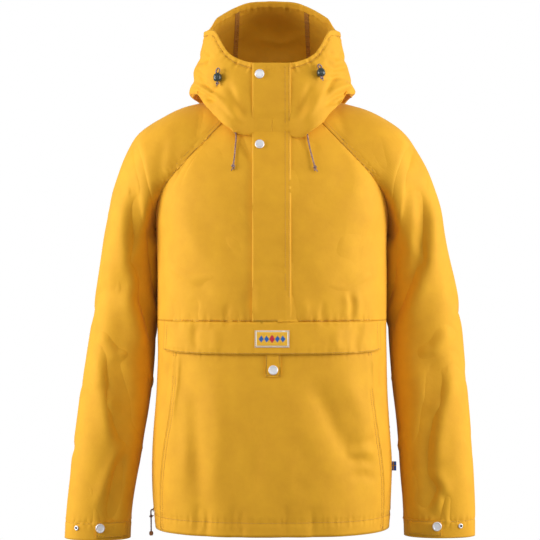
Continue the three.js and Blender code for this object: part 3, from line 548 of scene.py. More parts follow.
def crease_depth(points, ways, crease):
    """How deep a crease presses each point in."""
    side = SIDES[crease["side"]]
    facing = ways @ np.array(side["facing"])
    if crease["side"] == "front":
        step = (points[:, 1] - CAMERA["y"]) * CAMERA["sensor"] / CAMERA["lens"] / CAMERA["picture"]
        u = (points[:, 0] - CAMERA["x"]) / step + CAMERA["picture"] / 2
        v = CAMERA["picture"] / 2 - (points[:, 2] - CAMERA["z"]) / step
        width = crease["width"] * MM / np.median(step)
    else:
        u = points[:, side["across"]] / MM
        v = points[:, 2] / MM
        width = crease["width"]
    away, hand, along = line_field(u, v, crease["line"])
    across = away / width
    ends = rise(-0.12, 0.25, along) * rise(1.12, 0.75, along)
    if crease["lean"]:
        shape = hand * crease["lean"] * across * np.exp(0.5 - 0.5 * across ** 2)
    else:
        shape = np.exp(-across ** 2)
    return crease["depth"] * MM * shape * ends * rise(0.0, 0.45, facing)


def slack(points):
    """The cloth's slight unevenness: long shallow waves in no one direction."""
    waves = rows(("x", "y", "z", "phase", "height"), [
        (41, 23, 17, 0.4, 0.30),
        (-29, 37, 31, 1.9, 0.28),
        (57, -33, 46, 3.1, 0.20),
        (-71, 48, -63, 5.2, 0.16),
        (94, 61, 83, 0.9, 0.10),
        (133, -97, 71, 2.7, 0.08),
    ])
    height = np.zeros(len(points))
    for wave in waves:
        turn = points @ np.array([wave["x"], wave["y"], wave["z"]], float) + wave["phase"]
        height += wave["height"] * np.sin(turn) * MM
    return height


def move_points(piece, points):
    """Moves a piece's points to new places."""
    piece.data.vertices.foreach_set("co", points.astype(np.float32).ravel())
    piece.data.update()


# How the hood's fold sags towards the placket, in millimetres.
SAG = {"drop": 23.0, "from": 72.0, "until": 30.0, "top": 44.0, "foot": -8.0, "face": -106.0, "front": -117.0}
# How the gathered face opening lifts the hood's top and its corners, in millimetres.
CROWN = {
    "middle": 5.5, "corner": 5.0, "from": 8.0, "until": 50.0, "edge": 110.0, "inside": 94.0,
    "foot": 96.0, "top": 128.0,
}


def sag(points):
    """Lowers the hood's fold beside the placket."""
    x, y, z = (points / MM).T
    beside = rise(SAG["from"], SAG["until"], np.abs(x))
    low = rise(SAG["top"], SAG["foot"], z)
    front = rise(SAG["face"], SAG["front"], y)
    points[:, 2] -= SAG["drop"] * beside * low * front * MM


def crown(points):
    """Lifts the hood's top, and its corners more."""
    x, _, z = (points / MM).T
    corner = rise(CROWN["from"], CROWN["until"], np.abs(x))
    inside = rise(CROWN["edge"], CROWN["inside"], np.abs(x))
    high = rise(CROWN["foot"], CROWN["top"], z)
    points[:, 2] += (CROWN["middle"] + CROWN["corner"] * corner) * inside * high * MM


def shape_cloth(piece, node):
    """Sags, lifts and creases a piece of cloth."""
    points = read_points(piece)
    ways = read_ways(piece)
    if node.startswith("hood"):
        sag(points)
        crown(points)
    depth = -slack(points)
    for crease in CREASES:
        if node.startswith(crease["on"]):
            depth += crease_depth(points, ways, crease)
    move_points(piece, points - ways * depth[:, None])


# Sewing

UP, TO_RIGHT = (0, 0, 1), (-1, 0, 0)
# Which edges are sewn: the stitched piece, the solid beside it, or none at its own free edge, the way
# into the cloth from that edge, how far in each row of stitches is, and how much it puckers, both in
# millimetres.
SEAMS = rows(("node", "beside", "inward", "rows", "pucker"), [
    ("sleeve_*", "front_upper_*", None, (1.6, 7.6), 0.35),
    ("sleeve_*", "back", None, (1.6, 7.6), 0.35),
    ("front_lower", "side_front_*", None, (1.8, 8.0), 0.3),
    ("front_upper_*", "front_lower", None, (2.0,), 0.5),
    ("back", "side_front_*", None, (1.8,), 0.4),
    ("hood_centre", "hood_*", None, (1.8, 7.0), 0.4),
    ("hood_left", "hood_tunnel", None, (1.2,), 0.6),
    ("hood_centre", "hood_tunnel", None, (1.2,), 0.6),
    ("hood_right", "hood_tunnel", None, (1.2,), 0.6),
    ("front_lower", "", UP, (24,), 0.3),
    ("side_front_*", "", UP, (24,), 0.3),
    ("back", "", UP, (24,), 0.4),
    ("sleeve_*", "", UP, (28,), 0.4),
    ("placket", "", TO_RIGHT, (3.0, 9.5), 0.2),
    ("placket", "", UP, (2.4,), 0.2),
    ("pocket_flap", "", UP, (2.4,), 0.3),
    ("pocket_flap", "", (-0.5, -0.86, 0), (9.0,), 0.3),
    ("pocket_flap", "", (0.5, -0.86, 0), (9.0,), 0.3),
    ("pocket_tab", "", None, (2.2,), 0),
    ("cuff_tab_*", "", None, (2.2,), 0),
    ("patch", "", None, (1.0,), 0),
])
STITCH = {"pitch": 3.5, "length": 2.7, "wide": 0.45, "high": 0.32, "sides": 4}
# A row of stitches follows the cloth in steps this long, and is brought down on it from this high.
LINE_STEP = 1.2 * MM
SETTLE_FROM = 1.5 * MM
# Edges of two pieces that are this near are sewn to each other.
SEAM_NEAR = 3.2 * MM
# A sharp edge's two faces turn from each other at least so much, as a cosine, and one of them faces
# out at least so much. An edge at a hem faces the hem's way at least so much.
RIM_TURN = 0.5
RIM_OUT = 0.6
EDGE_FACING = 0.75
# Shorter runs of edges and rows of points aren't sewn.
FEWEST_EDGES = 4
FEWEST_POINTS = 6
# The groove along a row and the ruffle beside it, in millimetres.
GROOVE = {"depth": 1.1, "width": 1.9}
RUFFLE = {"reach": 14.0, "width": 8.0}
RUFFLE_WAVES = rows(("length", "turn", "height"), [(11.0, 1.0, 1.0), (17.3, 2.3, 0.8), (7.4, 3.1, 0.45)])


def runs_of(pairs):
    """Joins edges, given as pairs of point numbers, into runs of edge numbers."""
    at = {}
    for k, pair in enumerate(pairs):
        for point in pair:
            at.setdefault(point, []).append(k)
    left = set(range(len(pairs)))
    ends = [k for k, pair in enumerate(pairs) if any(len(at[point]) == 1 for point in pair)]
    runs = []
    for first in ends + list(range(len(pairs))):
        if first not in left:
            continue
        left.discard(first)
        run = [first]
        point = max(pairs[first], key=lambda p: len(at[p]))
        while True:
            onward = [k for k in at[point] if k in left]
            if not onward:
                break
            left.discard(onward[0])
            run.append(onward[0])
            a, b = pairs[onward[0]]
            point = b if a == point else a
        runs.append(run)
    return runs


def rim_of(piece, side):
    """The sharp edges of a wall's outer side, or its inner side at -1: their ends, and the way in."""
    mesh = piece.data
    edges = read_all(mesh.loops, "edge_index", kind=np.int32)
    sizes = read_all(mesh.polygons, "loop_total", kind=np.int32)
    normals = read_all(mesh.polygons, "normal", 3)
    faces = np.repeat(np.arange(len(sizes)), sizes)
    order = np.argsort(edges, kind="stable")
    counts = np.bincount(edges, minlength=len(mesh.edges))
    starts = (np.cumsum(counts) - counts)[counts == 2]
    first, second = normals[faces[order[starts]]], normals[faces[order[starts + 1]]]
    ends = read_all(mesh.edges, "vertices", 2, np.int32)[counts == 2]
    ways = read_ways(piece)[ends[:, 0]]
    one, two = (first * ways).sum(1) * side, (second * ways).sum(1) * side
    sharp = (first * second).sum(1) < RIM_TURN
    sharp &= (np.maximum(one, two) > RIM_OUT) & (np.minimum(one, two) > -RIM_OUT)
    rim = np.where((np.abs(one) < np.abs(two))[:, None], first, second)
    inward = unit(ways * (rim * ways).sum(1)[:, None] - rim)
    return ends[sharp], inward[sharp], ways[sharp]


def edge_lines(piece, beside, inward, side=1):
    """Runs along the edges of a piece that meet another, or face one way: places, ways in and out."""
    points = read_points(piece)
    ends, into, ways = rim_of(piece, side)
    middles = points[ends].mean(axis=1)
    keep = np.full(len(ends), True)
    if inward is not None:
        keep &= into @ np.array(inward, float) > EDGE_FACING
    if beside is not None:
        tree = tree_of(read_points(beside))
        keep &= np.array([tree.find(middle)[2] < SEAM_NEAR for middle in middles], bool)
    chosen = np.flatnonzero(keep)
    lines = []
    for run in runs_of([tuple(ends[k]) for k in chosen]):
        numbers = chosen[run]
        if len(numbers) >= FEWEST_EDGES:
            lines.append((middles[numbers], into[numbers], ways[numbers]))
    return lines


def lengths_along(points):
    """How far along a line each of its points is."""
    return np.concatenate([[0], np.cumsum(np.linalg.norm(np.diff(points, axis=0), axis=1))])


def placed_at(at, along, values):
    """Values at some lengths along a line, from the values at its points."""
    return np.stack([np.interp(at, along, column) for column in values.T], axis=1)


def evenly(points, step, *others):
    """Points at even steps along a line, with what goes with them."""
    along = lengths_along(points)
    at = np.arange(0, along[-1], step)
    return [placed_at(at, along, values) for values in (points, *others)]


def surface_tree(piece):
    """A tree for finding places on a piece's surface."""
    return BVHTree.FromObject(piece, bpy.context.evaluated_depsgraph_get())


def settled(points, ways, tree):
    """Points brought down on a surface, and the surface's normals there."""
    found = [tree.find_nearest(Vector(p + w * SETTLE_FROM)) for p, w in zip(points, ways)]
    return np.array([f[0] for f in found]), np.array([f[1] for f in found])


def seam_rows(pieces):
    """Every row of stitches: its even points on the cloth, its normals, its seam and its place."""
    found = []
    for seam in SEAMS:
        piece = pieces[seam["node"]]
        beside = pieces[seam["beside"]] if seam["beside"] else None
        tree = surface_tree(piece)
        for middles, into, ways in edge_lines(piece, beside, seam["inward"]):
            for row in seam["rows"]:
                line, out = evenly(middles + into * row * MM, LINE_STEP, ways)
                if len(line) < FEWEST_POINTS:
                    continue
                line, normals = settled(line, out, tree)
                found.append({"points": line, "normals": normals, "seam": seam})
    return found


def draw_in(pieces, lines):
    """Presses the cloth in along its stitches, and ruffles it beside them."""
    places = np.concatenate([line["points"] for line in lines])
    heights = []
    for number, line in enumerate(lines):
        along = np.arange(len(line["points"])) * LINE_STEP / MM
        wave = sum(w["height"] * np.sin(2 * math.pi * along / w["length"] + w["turn"] * (number + 1))
                   for w in RUFFLE_WAVES)
        heights.append(wave * line["seam"]["pucker"])
    heights = np.concatenate(heights)
    tree = tree_of(places)
    for piece in pieces.values():
        points = read_points(piece)
        nearest = [tree.find(point) for point in points]
        numbers = np.array([found[1] for found in nearest])
        away = np.array([found[2] for found in nearest]) / MM
        close = away < RUFFLE["reach"]
        depth = GROOVE["depth"] * np.exp(-(away / GROOVE["width"]) ** 2)
        depth += heights[numbers] * np.exp(-(away / RUFFLE["width"]) ** 2)
        move_points(piece, points - read_ways(piece) * (depth * close * MM)[:, None])


def stitch_mesh(name, starts, ends, normals):
    """Many short threads, each a rounded bar from its start to its end, lying along the cloth."""
    along = ends - starts
    lengths = np.linalg.norm(along, axis=1)
    along /= lengths[:, None]
    across = unit(np.cross(normals, along))
    rings = [(0.0, 0.0), (0.18, 0.9), (0.5, 1.0), (0.82, 0.9), (1.0, 0.0)]
    sides = STITCH["sides"]
    points = []
    for t, fat in rings:
        middle = starts + along * (lengths * t)[:, None] + normals * (STITCH["high"] * 0.5 * MM)
        for k in range(sides if fat else 1):
            turn = 2 * math.pi * k / sides
            points.append(middle + across * (STITCH["wide"] * MM * fat * math.cos(turn))
                          + normals * (STITCH["high"] * MM * fat * math.sin(turn)))
    points = np.stack(points, axis=1)
    faces = []
    for k in range(sides):
        k2 = (k + 1) % sides
        faces.append((0, 1 + k2, 1 + k))
        for ring in range(2):
            a = 1 + ring * sides
            faces += [(a + k, a + k2, a + sides + k2), (a + k, a + sides + k2, a + sides + k)]
        last = 1 + 2 * sides
        faces.append((last + k, last + k2, last + sides))
    faces = np.array(faces)[None] + (np.arange(len(starts)) * points.shape[1])[:, None, None]
    return new_piece(name, points, faces.reshape(-1, 3).tolist())


def stitches_on(lines):
    """The ends and normals of the stitches along rows of points."""
    starts, ends, normals = [], [], []
    for line in lines:
        points, normal = evenly(line["points"], STITCH["pitch"] * MM, line["normals"])
        step = np.diff(points, axis=0)
        starts.append(points[:-1])
        ends.append(points[:-1] + step * STITCH["length"] / STITCH["pitch"])
        normals.append(normal[:-1])
    return np.concatenate(starts), np.concatenate(ends), np.concatenate(normals)


# The binding over the hood's two inner seams, in millimetres: half its width, its thickness, how far
# inside the seam it is cast from, how far off the cloth it lies, and the ladder's step.
BINDING = {"half": 4.4, "thick": 0.5, "inset": 14.0, "off": 0.4, "every": 4.2}


def sheet_mesh(name, grid):
    """A single layer of cloth over a grid of points."""
    count, wide = grid.shape[:2]
    faces = [(i * wide + j, i * wide + j + 1, (i + 1) * wide + j + 1, (i + 1) * wide + j)
             for i in range(count - 1) for j in range(wide - 1)]
    return new_piece(name, grid, faces)


def binding_strip(name, line, ways, into, trees):
    """A flat tape along an inner seam, laid on the cloth beside it, and the bars stitched across it."""
    grid = []
    for start, side, way in zip(line, into, ways):
        across = []
        for offset in np.linspace(-BINDING["half"], BINDING["half"], 5) * MM:
            inside = Vector(start + side * offset - way * BINDING["inset"] * MM)
            hits = [tree.ray_cast(inside, Vector(way), 2 * BINDING["inset"] * MM) for tree in trees]
            reach = [hit[3] for hit in hits if hit[0] is not None]
            deep = min(reach, default=BINDING["inset"] * MM) - BINDING["off"] * MM
            across.append(np.array(inside) + way * deep)
        grid.append(across)
    grid = np.array(grid)
    piece = sheet_mesh(name, grid)
    only(piece)
    bpy.ops.object.mode_set(mode="EDIT")
    bpy.ops.mesh.select_all(action="SELECT")
    bpy.ops.mesh.normals_make_consistent(inside=False)
    bpy.ops.object.mode_set(mode="OBJECT")
    thicken = piece.modifiers.new("thickness", "SOLIDIFY")
    thicken.thickness = BINDING["thick"] * MM
    thicken.offset = 0
    bpy.ops.object.modifier_apply(modifier="thickness")
    return piece, grid


def sew(pieces):
    """The stitches of every seam, and the binding inside the hood with its ladder stitch."""
    sewn = [stitch_mesh("stitching", *stitches_on(seam_rows(pieces)))]
    bindings = []
    trees = [surface_tree(pieces[node]) for node in ("hood_left", "hood_centre", "hood_right")]
    for side in ("left", "right"):
        lines = edge_lines(pieces["hood_centre"], pieces[f"hood_{side}"], None, -1)
        middles, into, ways = max(lines, key=lambda found: len(found[0]))
        line, side_way, out = evenly(middles, BINDING["every"] * MM, into, ways)
        binding, grid = binding_strip(f"hood_binding_{side}", line, out, side_way, trees)
        bindings.append(binding)
        lift = out * BINDING["thick"] * MM
        sewn.append(stitch_mesh(f"ladder_stitch_{side}", grid[:, 0] - lift, grid[:, 4] - lift, -out))
    return sewn, bindings


# Fittings

# Profiles of round pieces, in millimetres: radius and height. A ring's ends where it starts.
PROFILES = {
    "cap": [
        (0, 0), (6.6, 0), (7.4, 0.5), (7.8, 1.3), (7.7, 2.2), (7.2, 2.9), (6.6, 3.15), (6, 3), (5.5, 2.6),
        (5, 2.5), (2.5, 2.6), (0, 2.65),
    ],
    "stud": [
        (0, 0), (3.9, 0), (4.2, 0.6), (4, 1.3), (3.2, 1.9), (2.6, 2), (2, 1.7), (1.7, 0.8), (0, 0.6),
    ],
    "eyelet": [
        (1.7, 0.1), (3.4, 0.1), (3.6, 0.5), (3.2, 1), (2.6, 1.2), (2, 1), (1.7, 0.5), (1.7, 0.1),
    ],
    "bead": [
        (1.1, 0), (2.4, 0.2), (3.3, 1.6), (3.6, 3.6), (3.3, 5.8), (2.4, 7.3), (1.1, 7.5), (1.1, 0),
    ],
    "lock": [
        (0, 0), (3.2, 0), (5, 0.7), (6.3, 2.4), (6.9, 5), (6.9, 6.4), (6.6, 6.7), (6.6, 7.1), (6.9, 7.4),
        (6.8, 8.8), (6.1, 11), (4.9, 12.6), (3.9, 13.2), (3.6, 13.1), (3.4, 12.4), (2.9, 12.3), (2.8, 14),
        (2.3, 14.6), (0, 14.8),
    ],
}
# Each snap: its node, the cloth that carries it, its name, its profile and the radius of its socket's hollow,
# coloured near black as painted shade.
SNAPS = rows(("node", "on", "name", "profile", "shaded_hollow"), [
    ("snap_placket_top", "placket", "snap_cap_collar", "cap", 0),
    ("snap_placket_low", "placket", "snap_cap_chest", "cap", 0),
    ("snap_pocket_tab", "pocket_tab", "snap_cap_pocket", "cap", 0),
    ("snap_cuff_*", "cuff_tab_*", "snap_cap_wrist_*", "cap", 0),
    ("stud_cuff_*", "sleeve_*", "spare_stud_*", "stud", 2.1),
])
# The faces of a turned piece blend at its edges up to this bend.
TURNED_ANGLE = math.radians(40)
# A cord lock's length, and how far its axis stands off the cloth, in millimetres.
LOCK = {"length": 14.0, "out": 6.4}
CORD_RADIUS = 1.2 * MM
# A cord leaves its eyelet square to it, through these heights over its foot, in millimetres.
EYELET_RUN = (0.4, 3.6)
# How high the middle of a cord lies over the cloth, in millimetres.
CORD_LIES = 2.1
# Fittings come down on the cloth from this far out.
FALL = 15 * MM
# The flag label's cells are cut this often, and it curls back by so much for its width squared, in
# millimetres.
LABEL = {"cuts": 11, "curl": 0.018}
# The drawcord ends on the chest: the places they lie over, x and z in millimetres.
NECK_ROUTES = {
    "left": [(58.5, -45), (61.6, -62), (65.4, -78), (69, -91)],
    "right": [(-58.6, -44), (-59.6, -58), (-61, -75), (-62.6, -89)],
}
# The way the hem's cord hangs from its eyelet, in millimetres.
HEM_WAY = [(-4.6, 0, -3), (-4.4, -0.4, -9), (-4.2, 0.3, -21.6), (-4.1, 0, -36)]


def seat_of(node, tall=False):
    """The middle of a fitting's foot, and the way it stands."""
    points = np.unique(read_points(NODES[node]).round(7), axis=0)
    middle = points.mean(axis=0)
    axes = np.linalg.svd(points - middle, full_matrices=False)[2]
    way = axes[0] if tall else axes[2]
    away = middle - nearest_on_line(middle[None], centre_line(node))[0]
    toward = np.array([0.0, 0.0, 1.0]) if tall else away
    way = way if way @ toward > 0 else -way
    return middle + way * ((points - middle) @ way).min(), way


def turned(name, profile, steps=48):
    """A round piece spun from its profile."""
    bpy.ops.object.select_all(action="DESELECT")
    bpy.ops.mesh.primitive_plane_add(size=MM, location=(0, 0, 0))
    piece = bpy.context.object
    piece.name = name
    bpy.ops.object.mode_set(mode="EDIT")
    bpy.ops.mesh.select_all(action="SELECT")
    bpy.ops.mesh.merge(type="CENTER")
    line = [Vector((radius, 0, height)) * MM for radius, height in PROFILES[profile]]
    bpy.ops.transform.translate(value=line[0])
    for a, b in zip(line, line[1:]):
        bpy.ops.mesh.extrude_vertices_move(TRANSFORM_OT_translate={"value": b - a})
    bpy.ops.mesh.select_all(action="SELECT")
    bpy.ops.mesh.spin(steps=steps, angle=2 * math.pi, center=(0, 0, 0), axis=(0, 0, 1))
    bpy.ops.mesh.select_all(action="SELECT")
    bpy.ops.mesh.remove_doubles(threshold=1e-6)
    bpy.ops.mesh.normals_make_consistent(inside=False)
    bpy.ops.object.mode_set(mode="OBJECT")
    bpy.ops.object.shade_smooth_by_angle(angle=TURNED_ANGLE)
    return piece


def stand(piece, foot, way):
    """Stands a piece made about Z on a foot, with its Z along a way."""
    turn = Vector((0, 0, 1)).rotation_difference(Vector(way))
    piece.data.transform(Matrix.Translation(Vector(foot)) @ turn.to_matrix().to_4x4())
    piece.data.update()


def on_cloth(foot, way, tree):
    """Brings a fitting's foot down on the finished cloth."""
    hit, normal, _, _ = tree.ray_cast(Vector(foot + way * FALL), Vector(-way), 2 * FALL)
    if hit is None:
        return foot, way
    way = way + np.array(normal)
    return np.array(hit), way / np.linalg.norm(way)


def smooth_path(points, step):
    """A smooth line through points, as even points about a step apart."""
    points = np.array(points, float)
    held = np.vstack([2 * points[0] - points[1], points, 2 * points[-1] - points[-2]])
    fine = []
    for a, b, c, d in zip(held, held[1:], held[2:], held[3:]):
        for t in np.linspace(0, 1, 12, endpoint=False):
            cubic = (2 * b + (c - a) * t + (2 * a - 5 * b + 4 * c - d) * t ** 2
                     + (3 * b - a - 3 * c + d) * t ** 3)
            fine.append(cubic / 2)
    fine.append(points[-1])
    fine = np.array(fine)
    along = lengths_along(fine)
    return placed_at(np.linspace(0, along[-1], max(4, round(along[-1] / step) + 1)), along, fine)


def cord_mesh(name, paths, radius, sides=12):
    """Cords along paths in one mesh, each with its turns along it and round it as a UV map."""
    points, faces, turns = [], [], []
    for path in paths:
        ways = unit(np.gradient(path, axis=0))
        side = np.cross(ways[0], (0.3, 0.5, 0.8))
        along = lengths_along(path) / (2 * math.pi * radius)
        first = len(points)
        for place, way, turn in zip(path, ways, along):
            side = side - way * (side @ way)
            side /= np.linalg.norm(side)
            other = np.cross(way, side)
            fat = radius * (1 + 0.04 * math.sin(turn * 9))
            for k in range(sides):
                angle = 2 * math.pi * k / sides
                points.append(place + fat * (side * math.cos(angle) + other * math.sin(angle)))
        for i in range(len(path) - 1):
            for k in range(sides):
                a, b = first + i * sides, first + (i + 1) * sides
                faces.append((a + k, a + (k + 1) % sides, b + (k + 1) % sides, b + k))
                u, u2, v, v2 = along[i], along[i + 1], k / sides, (k + 1) / sides
                turns += [(u, v), (u, v2), (u2, v2), (u2, v)]
        last = first + (len(path) - 1) * sides
        faces += [tuple(first + k for k in reversed(range(sides))), tuple(last + k for k in range(sides))]
        turns += [(along[0], 0.5)] * sides + [(along[-1], 0.5)] * sides
    piece = new_piece(name, points, faces)
    layer = piece.data.uv_layers.new(name="braid")
    layer.data.foreach_set("uv", np.array(turns, np.float32).ravel())
    only(piece)
    bpy.ops.object.shade_smooth_by_angle(angle=SMOOTH_ANGLE)
    return piece


def knot_mesh(name, middle, facing, onward, size, tails):
    """A tight overhand knot that faces one way, with its tails past it, in millimetres onward and across."""
    facing = facing / np.linalg.norm(facing)
    onward = onward - facing * (onward @ facing)
    onward /= np.linalg.norm(onward)
    across = np.cross(facing, onward)
    loop = []
    for t in np.linspace(0, 2 * math.pi, 40):
        x, y = math.sin(t) + 2 * math.sin(2 * t), math.cos(t) - 2 * math.cos(2 * t)
        loop.append(middle + size * MM * (x * across + y * onward - 1.1 * math.sin(3 * t) * facing))
    paths = [np.array(loop)]
    for ahead, aside in tails:
        end = middle + MM * (ahead * onward + aside * across)
        half = middle + MM * (0.55 * ahead * onward + 0.3 * aside * across + 0.4 * facing)
        paths.append(smooth_path([middle, half, end], 0.8 * MM))
    return cord_mesh(name, paths, 0.95 * MM, 10)


def paint(piece, finishes, choose):
    """Gives each cell of a piece one of the finishes, by where its middle is across and up it, in mm."""
    for finish in finishes:
        piece.data.materials.append(finish)
    middles = read_all(piece.data.polygons, "center", 3) / MM
    low, high = middles.min(axis=0), middles.max(axis=0)
    placed = middles - (low + high) / 2
    half = (high - low) / 2
    chosen = [choose(x, z, half[0], half[2]) for x, _, z in placed]
    piece.data.polygons.foreach_set("material_index", np.array(chosen, np.int32))


# The patch's motif: a row of diamonds, each with its place, half its width and half its height in
# millimetres, and its thread: 0 is white, 1 yellow, 2 blue and 3 red.
DIAMONDS = rows(("at", "wide", "high", "thread"), [
    (-17.5, 4.2, 5.6, 2), (-8.8, 4.2, 5.6, 2), (0, 4.8, 7.2, 3), (8.8, 4.2, 5.6, 2), (17.5, 4.2, 5.6, 2),
])


def patch_thread(x, z, wide, high):
    """The thread at a place of the patch: a white border round a yellow field with the motif."""
    if abs(x) > wide - 3.0 or abs(z) > high - 2.6:
        return 0
    for diamond in DIAMONDS:
        if abs(x - diamond["at"]) / diamond["wide"] + abs(z) / diamond["high"] < 1:
            return diamond["thread"]
    return 1


def flag_thread(x, z, wide, high):
    """The thread at a place of the flag label: a yellow cross on blue."""
    return 1 if abs(x + wide * 0.25) < 0.9 or abs(z - high * 0.1) < 1.1 else 0


def lay_out(piece, node):
    """A UV map in metres: round the garment and up it, so the weave follows the cloth."""
    points = read_points(piece)
    line = centre_line(node)
    out = points - nearest_on_line(points, line)
    is_back = node in ("back", "hood_centre")
    turn = np.arctan2(out[:, 0], out[:, 1] if is_back else -out[:, 1])
    if node.startswith("sleeve"):
        side = 1 if node.endswith("left") else -1
        turn = np.arctan2(-out[:, 1], side * out[:, 0])
    radius = 0.06 if node.startswith(("sleeve", "cuff")) else 0.16
    flat = np.stack([turn * radius, points[:, 2]], axis=1)
    layer = piece.data.uv_layers.get("cloth") or piece.data.uv_layers.new(name="cloth")
    corners = read_all(piece.data.loops, "vertex_index", kind=np.int32)
    layer.data.foreach_set("uv", flat[corners].astype(np.float32).ravel())


# Materials


def linear(colour):
    """An sRGB hex colour as linear red, green and blue."""
    values = [int(colour[k:k + 2], 16) / 255 for k in (1, 3, 5)]
    return tuple(v / 12.92 if v <= 0.04045 else ((v + 0.055) / 1.055) ** 2.4 for v in values) + (1.0,)


def add_node(tree, kind, settings=None, values=None, links=None):
    """Adds a node with its settings, the values of its sockets and the links into them."""
    node = tree.nodes.new(kind)
    for key, value in (settings or {}).items():
        setattr(node, key, value)
    for key, value in (values or {}).items():
        node.inputs[key].default_value = value
    for key, (source, output) in (links or {}).items():
        tree.links.new(source.outputs[output], node.inputs[key])
    return node


def new_material(name):
    """A material without nodes."""
    material = bpy.data.materials.new(name)
    material.use_nodes = True
    material.node_tree.nodes.clear()
    return material


def grains(tree, values):
    """Grains of noise, fixed to the piece."""
    place = add_node(tree, "ShaderNodeTexCoord")
    return add_node(tree, "ShaderNodeTexNoise", None, values, {"Vector": (place, "Object")})


def bands(tree, direction, values, vector):
    """Bands that run across one direction."""
    settings = {"wave_type": "BANDS", "bands_direction": direction}
    return add_node(tree, "ShaderNodeTexWave", settings, values, {"Vector": vector})


def tinted(tree, first, second, share):
    """A colour from the first to the second, by another node's share."""
    colours = {6: linear(first), 7: linear(second)}
    return add_node(tree, "ShaderNodeMix", {"data_type": "RGBA"}, colours, {0: share})


def bumped(tree, strength, distance, height, under=None):
    """A bump by another node's height, over the bump under it."""
    links = {"Height": height}
    if under:
        links["Normal"] = (under, "Normal")
    return add_node(tree, "ShaderNodeBump", None, {"Strength": strength, "Distance": distance}, links)


def surfaced(material, values, tint, bump):
    """Ends a material in a surface with a colour and a bump."""
    tree = material.node_tree
    surface = add_node(
        tree, "ShaderNodeBsdfPrincipled", None, values, {"Base Color": (tint, 2), "Normal": (bump, "Normal")})
    add_node(tree, "ShaderNodeOutputMaterial", None, None, {"Surface": (surface, "BSDF")})
    return material


def woven_cotton(name, colour, dark, sheen):
    """Tightly woven cotton and polyester, waxed: matt, with a soft sheen at a glance and fine slubs."""
    material = new_material(name)
    tree = material.node_tree
    flat = add_node(tree, "ShaderNodeUVMap", {"uv_map": "cloth"})
    # The threads are 0.35 mm apart. They are drawn 1.3 mm apart, so that they show.
    threads = {"Scale": 240.0, "Distortion": 0.6, "Detail": 1.0, "Detail Scale": 2.0}
    warp, weft = (bands(tree, direction, threads, (flat, "UV")) for direction in ("X", "Y"))
    weave = add_node(
        tree, "ShaderNodeMath", {"operation": "MULTIPLY"}, None, {0: (warp, "Fac"), 1: (weft, "Fac")})
    # Soft crumples a few millimetres to a centimetre across.
    crumple = grains(tree, {"Scale": 95.0, "Detail": 3.0, "Roughness": 0.5, "Distortion": 0.4})
    shade = grains(tree, {"Scale": 26.0, "Detail": 4.0, "Roughness": 0.6})
    slub = add_node(
        tree, "ShaderNodeMapRange", None,
        {"From Min": 0.3, "From Max": 0.7, "To Min": 0.0, "To Max": 0.5}, {"Value": (shade, "Fac")})
    tint = tinted(tree, colour, dark, (slub, "Result"))
    first = bumped(tree, 0.25, 0.0012, (crumple, "Fac"))
    second = bumped(tree, 0.22, 0.0003, (weave, "Value"), first)
    return surfaced(material, {
        "Roughness": 0.74, "IOR": 1.46, "Specular IOR Level": 0.35, "Sheen Weight": sheen,
        "Sheen Roughness": 0.45, "Sheen Tint": linear("#FFD890"),
    }, tint, second)


def grained(name, shades, grain, bump, values):
    """A finish of two near shades in grains of one size, raised by a bump, both in millimetres."""
    material = new_material(name)
    tree = material.node_tree
    noise = (grains(tree, {"Scale": 1000 / grain, "Detail": 3.0, "Roughness": 0.55}), "Fac")
    return surfaced(material, values, tinted(tree, *shades, noise), bumped(tree, 0.5, bump * MM, noise))


def satin_thread(name, colour, dark):
    """Satin-woven thread: close shiny ribs 0.8 mm apart, with painted shade that makes it a little darker
    between them.
    """
    material = new_material(name)
    tree = material.node_tree
    place = add_node(tree, "ShaderNodeTexCoord")
    threads = {"Scale": 390.0, "Distortion": 0.8, "Detail": 1.0}
    ribs = (bands(tree, "DIAGONAL", threads, (place, "Object")), "Fac")
    values = {"Roughness": 0.5, "Sheen Weight": 0.2, "Sheen Roughness": 0.4, "Specular IOR Level": 0.4}
    # Painted shade: the colour follows the ribs' bump, darker in the grooves between them.
    return surfaced(material, values, tinted(tree, dark, colour, ribs), bumped(tree, 0.4, 0.0003, ribs))


def braided_cord():
    """Braided polyester cord: brown strands crossing on the slant, with a mauve fleck in some, and painted
    shade in dark brown between the strands.
    """
    material = new_material("braided_polyester_cord")
    tree = material.node_tree
    turns = add_node(tree, "ShaderNodeUVMap", {"uv_map": "braid"})
    other = add_node(
        tree, "ShaderNodeMapping", None, {"Scale": (1, -1, 1)}, {"Vector": (turns, "UV")})
    # Four strands go round the cord each way.
    one, two = (
        bands(tree, "DIAGONAL", {"Scale": 2.513}, way) for way in ((turns, "UV"), (other, "Vector")))
    strands = add_node(
        tree, "ShaderNodeMath", {"operation": "MAXIMUM"}, None, {0: (one, "Fac"), 1: (two, "Fac")})
    flecks = grains(tree, {"Scale": 620.0, "Detail": 2.0})
    chosen = add_node(
        tree, "ShaderNodeMapRange", None, {"From Min": 0.48, "From Max": 0.62}, {"Value": (flecks, "Fac")})
    yarn = tinted(tree, "#8A6450", "#D2B2C0", (chosen, "Result"))
    # Painted shade: where the strands' bump is low, between them, the colour is dark brown.
    tint = add_node(
        tree, "ShaderNodeMix", {"data_type": "RGBA"}, {6: linear("#543A2C")},
        {0: (strands, "Value"), 7: (yarn, 2)})
    raised = bumped(tree, 0.8, 0.0004, (strands, "Value"))
    return surfaced(material, {"Roughness": 0.7, "Sheen Weight": 0.2}, tint, raised)


def stage_white():
    """A white paper sweep, lit so that it shows no shade."""
    material = new_material("white_paper_sweep")
    tree = material.node_tree
    glow = add_node(tree, "ShaderNodeEmission", None, {"Color": linear("#FFFFFF"), "Strength": 1.0})
    add_node(tree, "ShaderNodeOutputMaterial", None, None, {"Surface": (glow, "Emission")})
    return material


# What a user would change


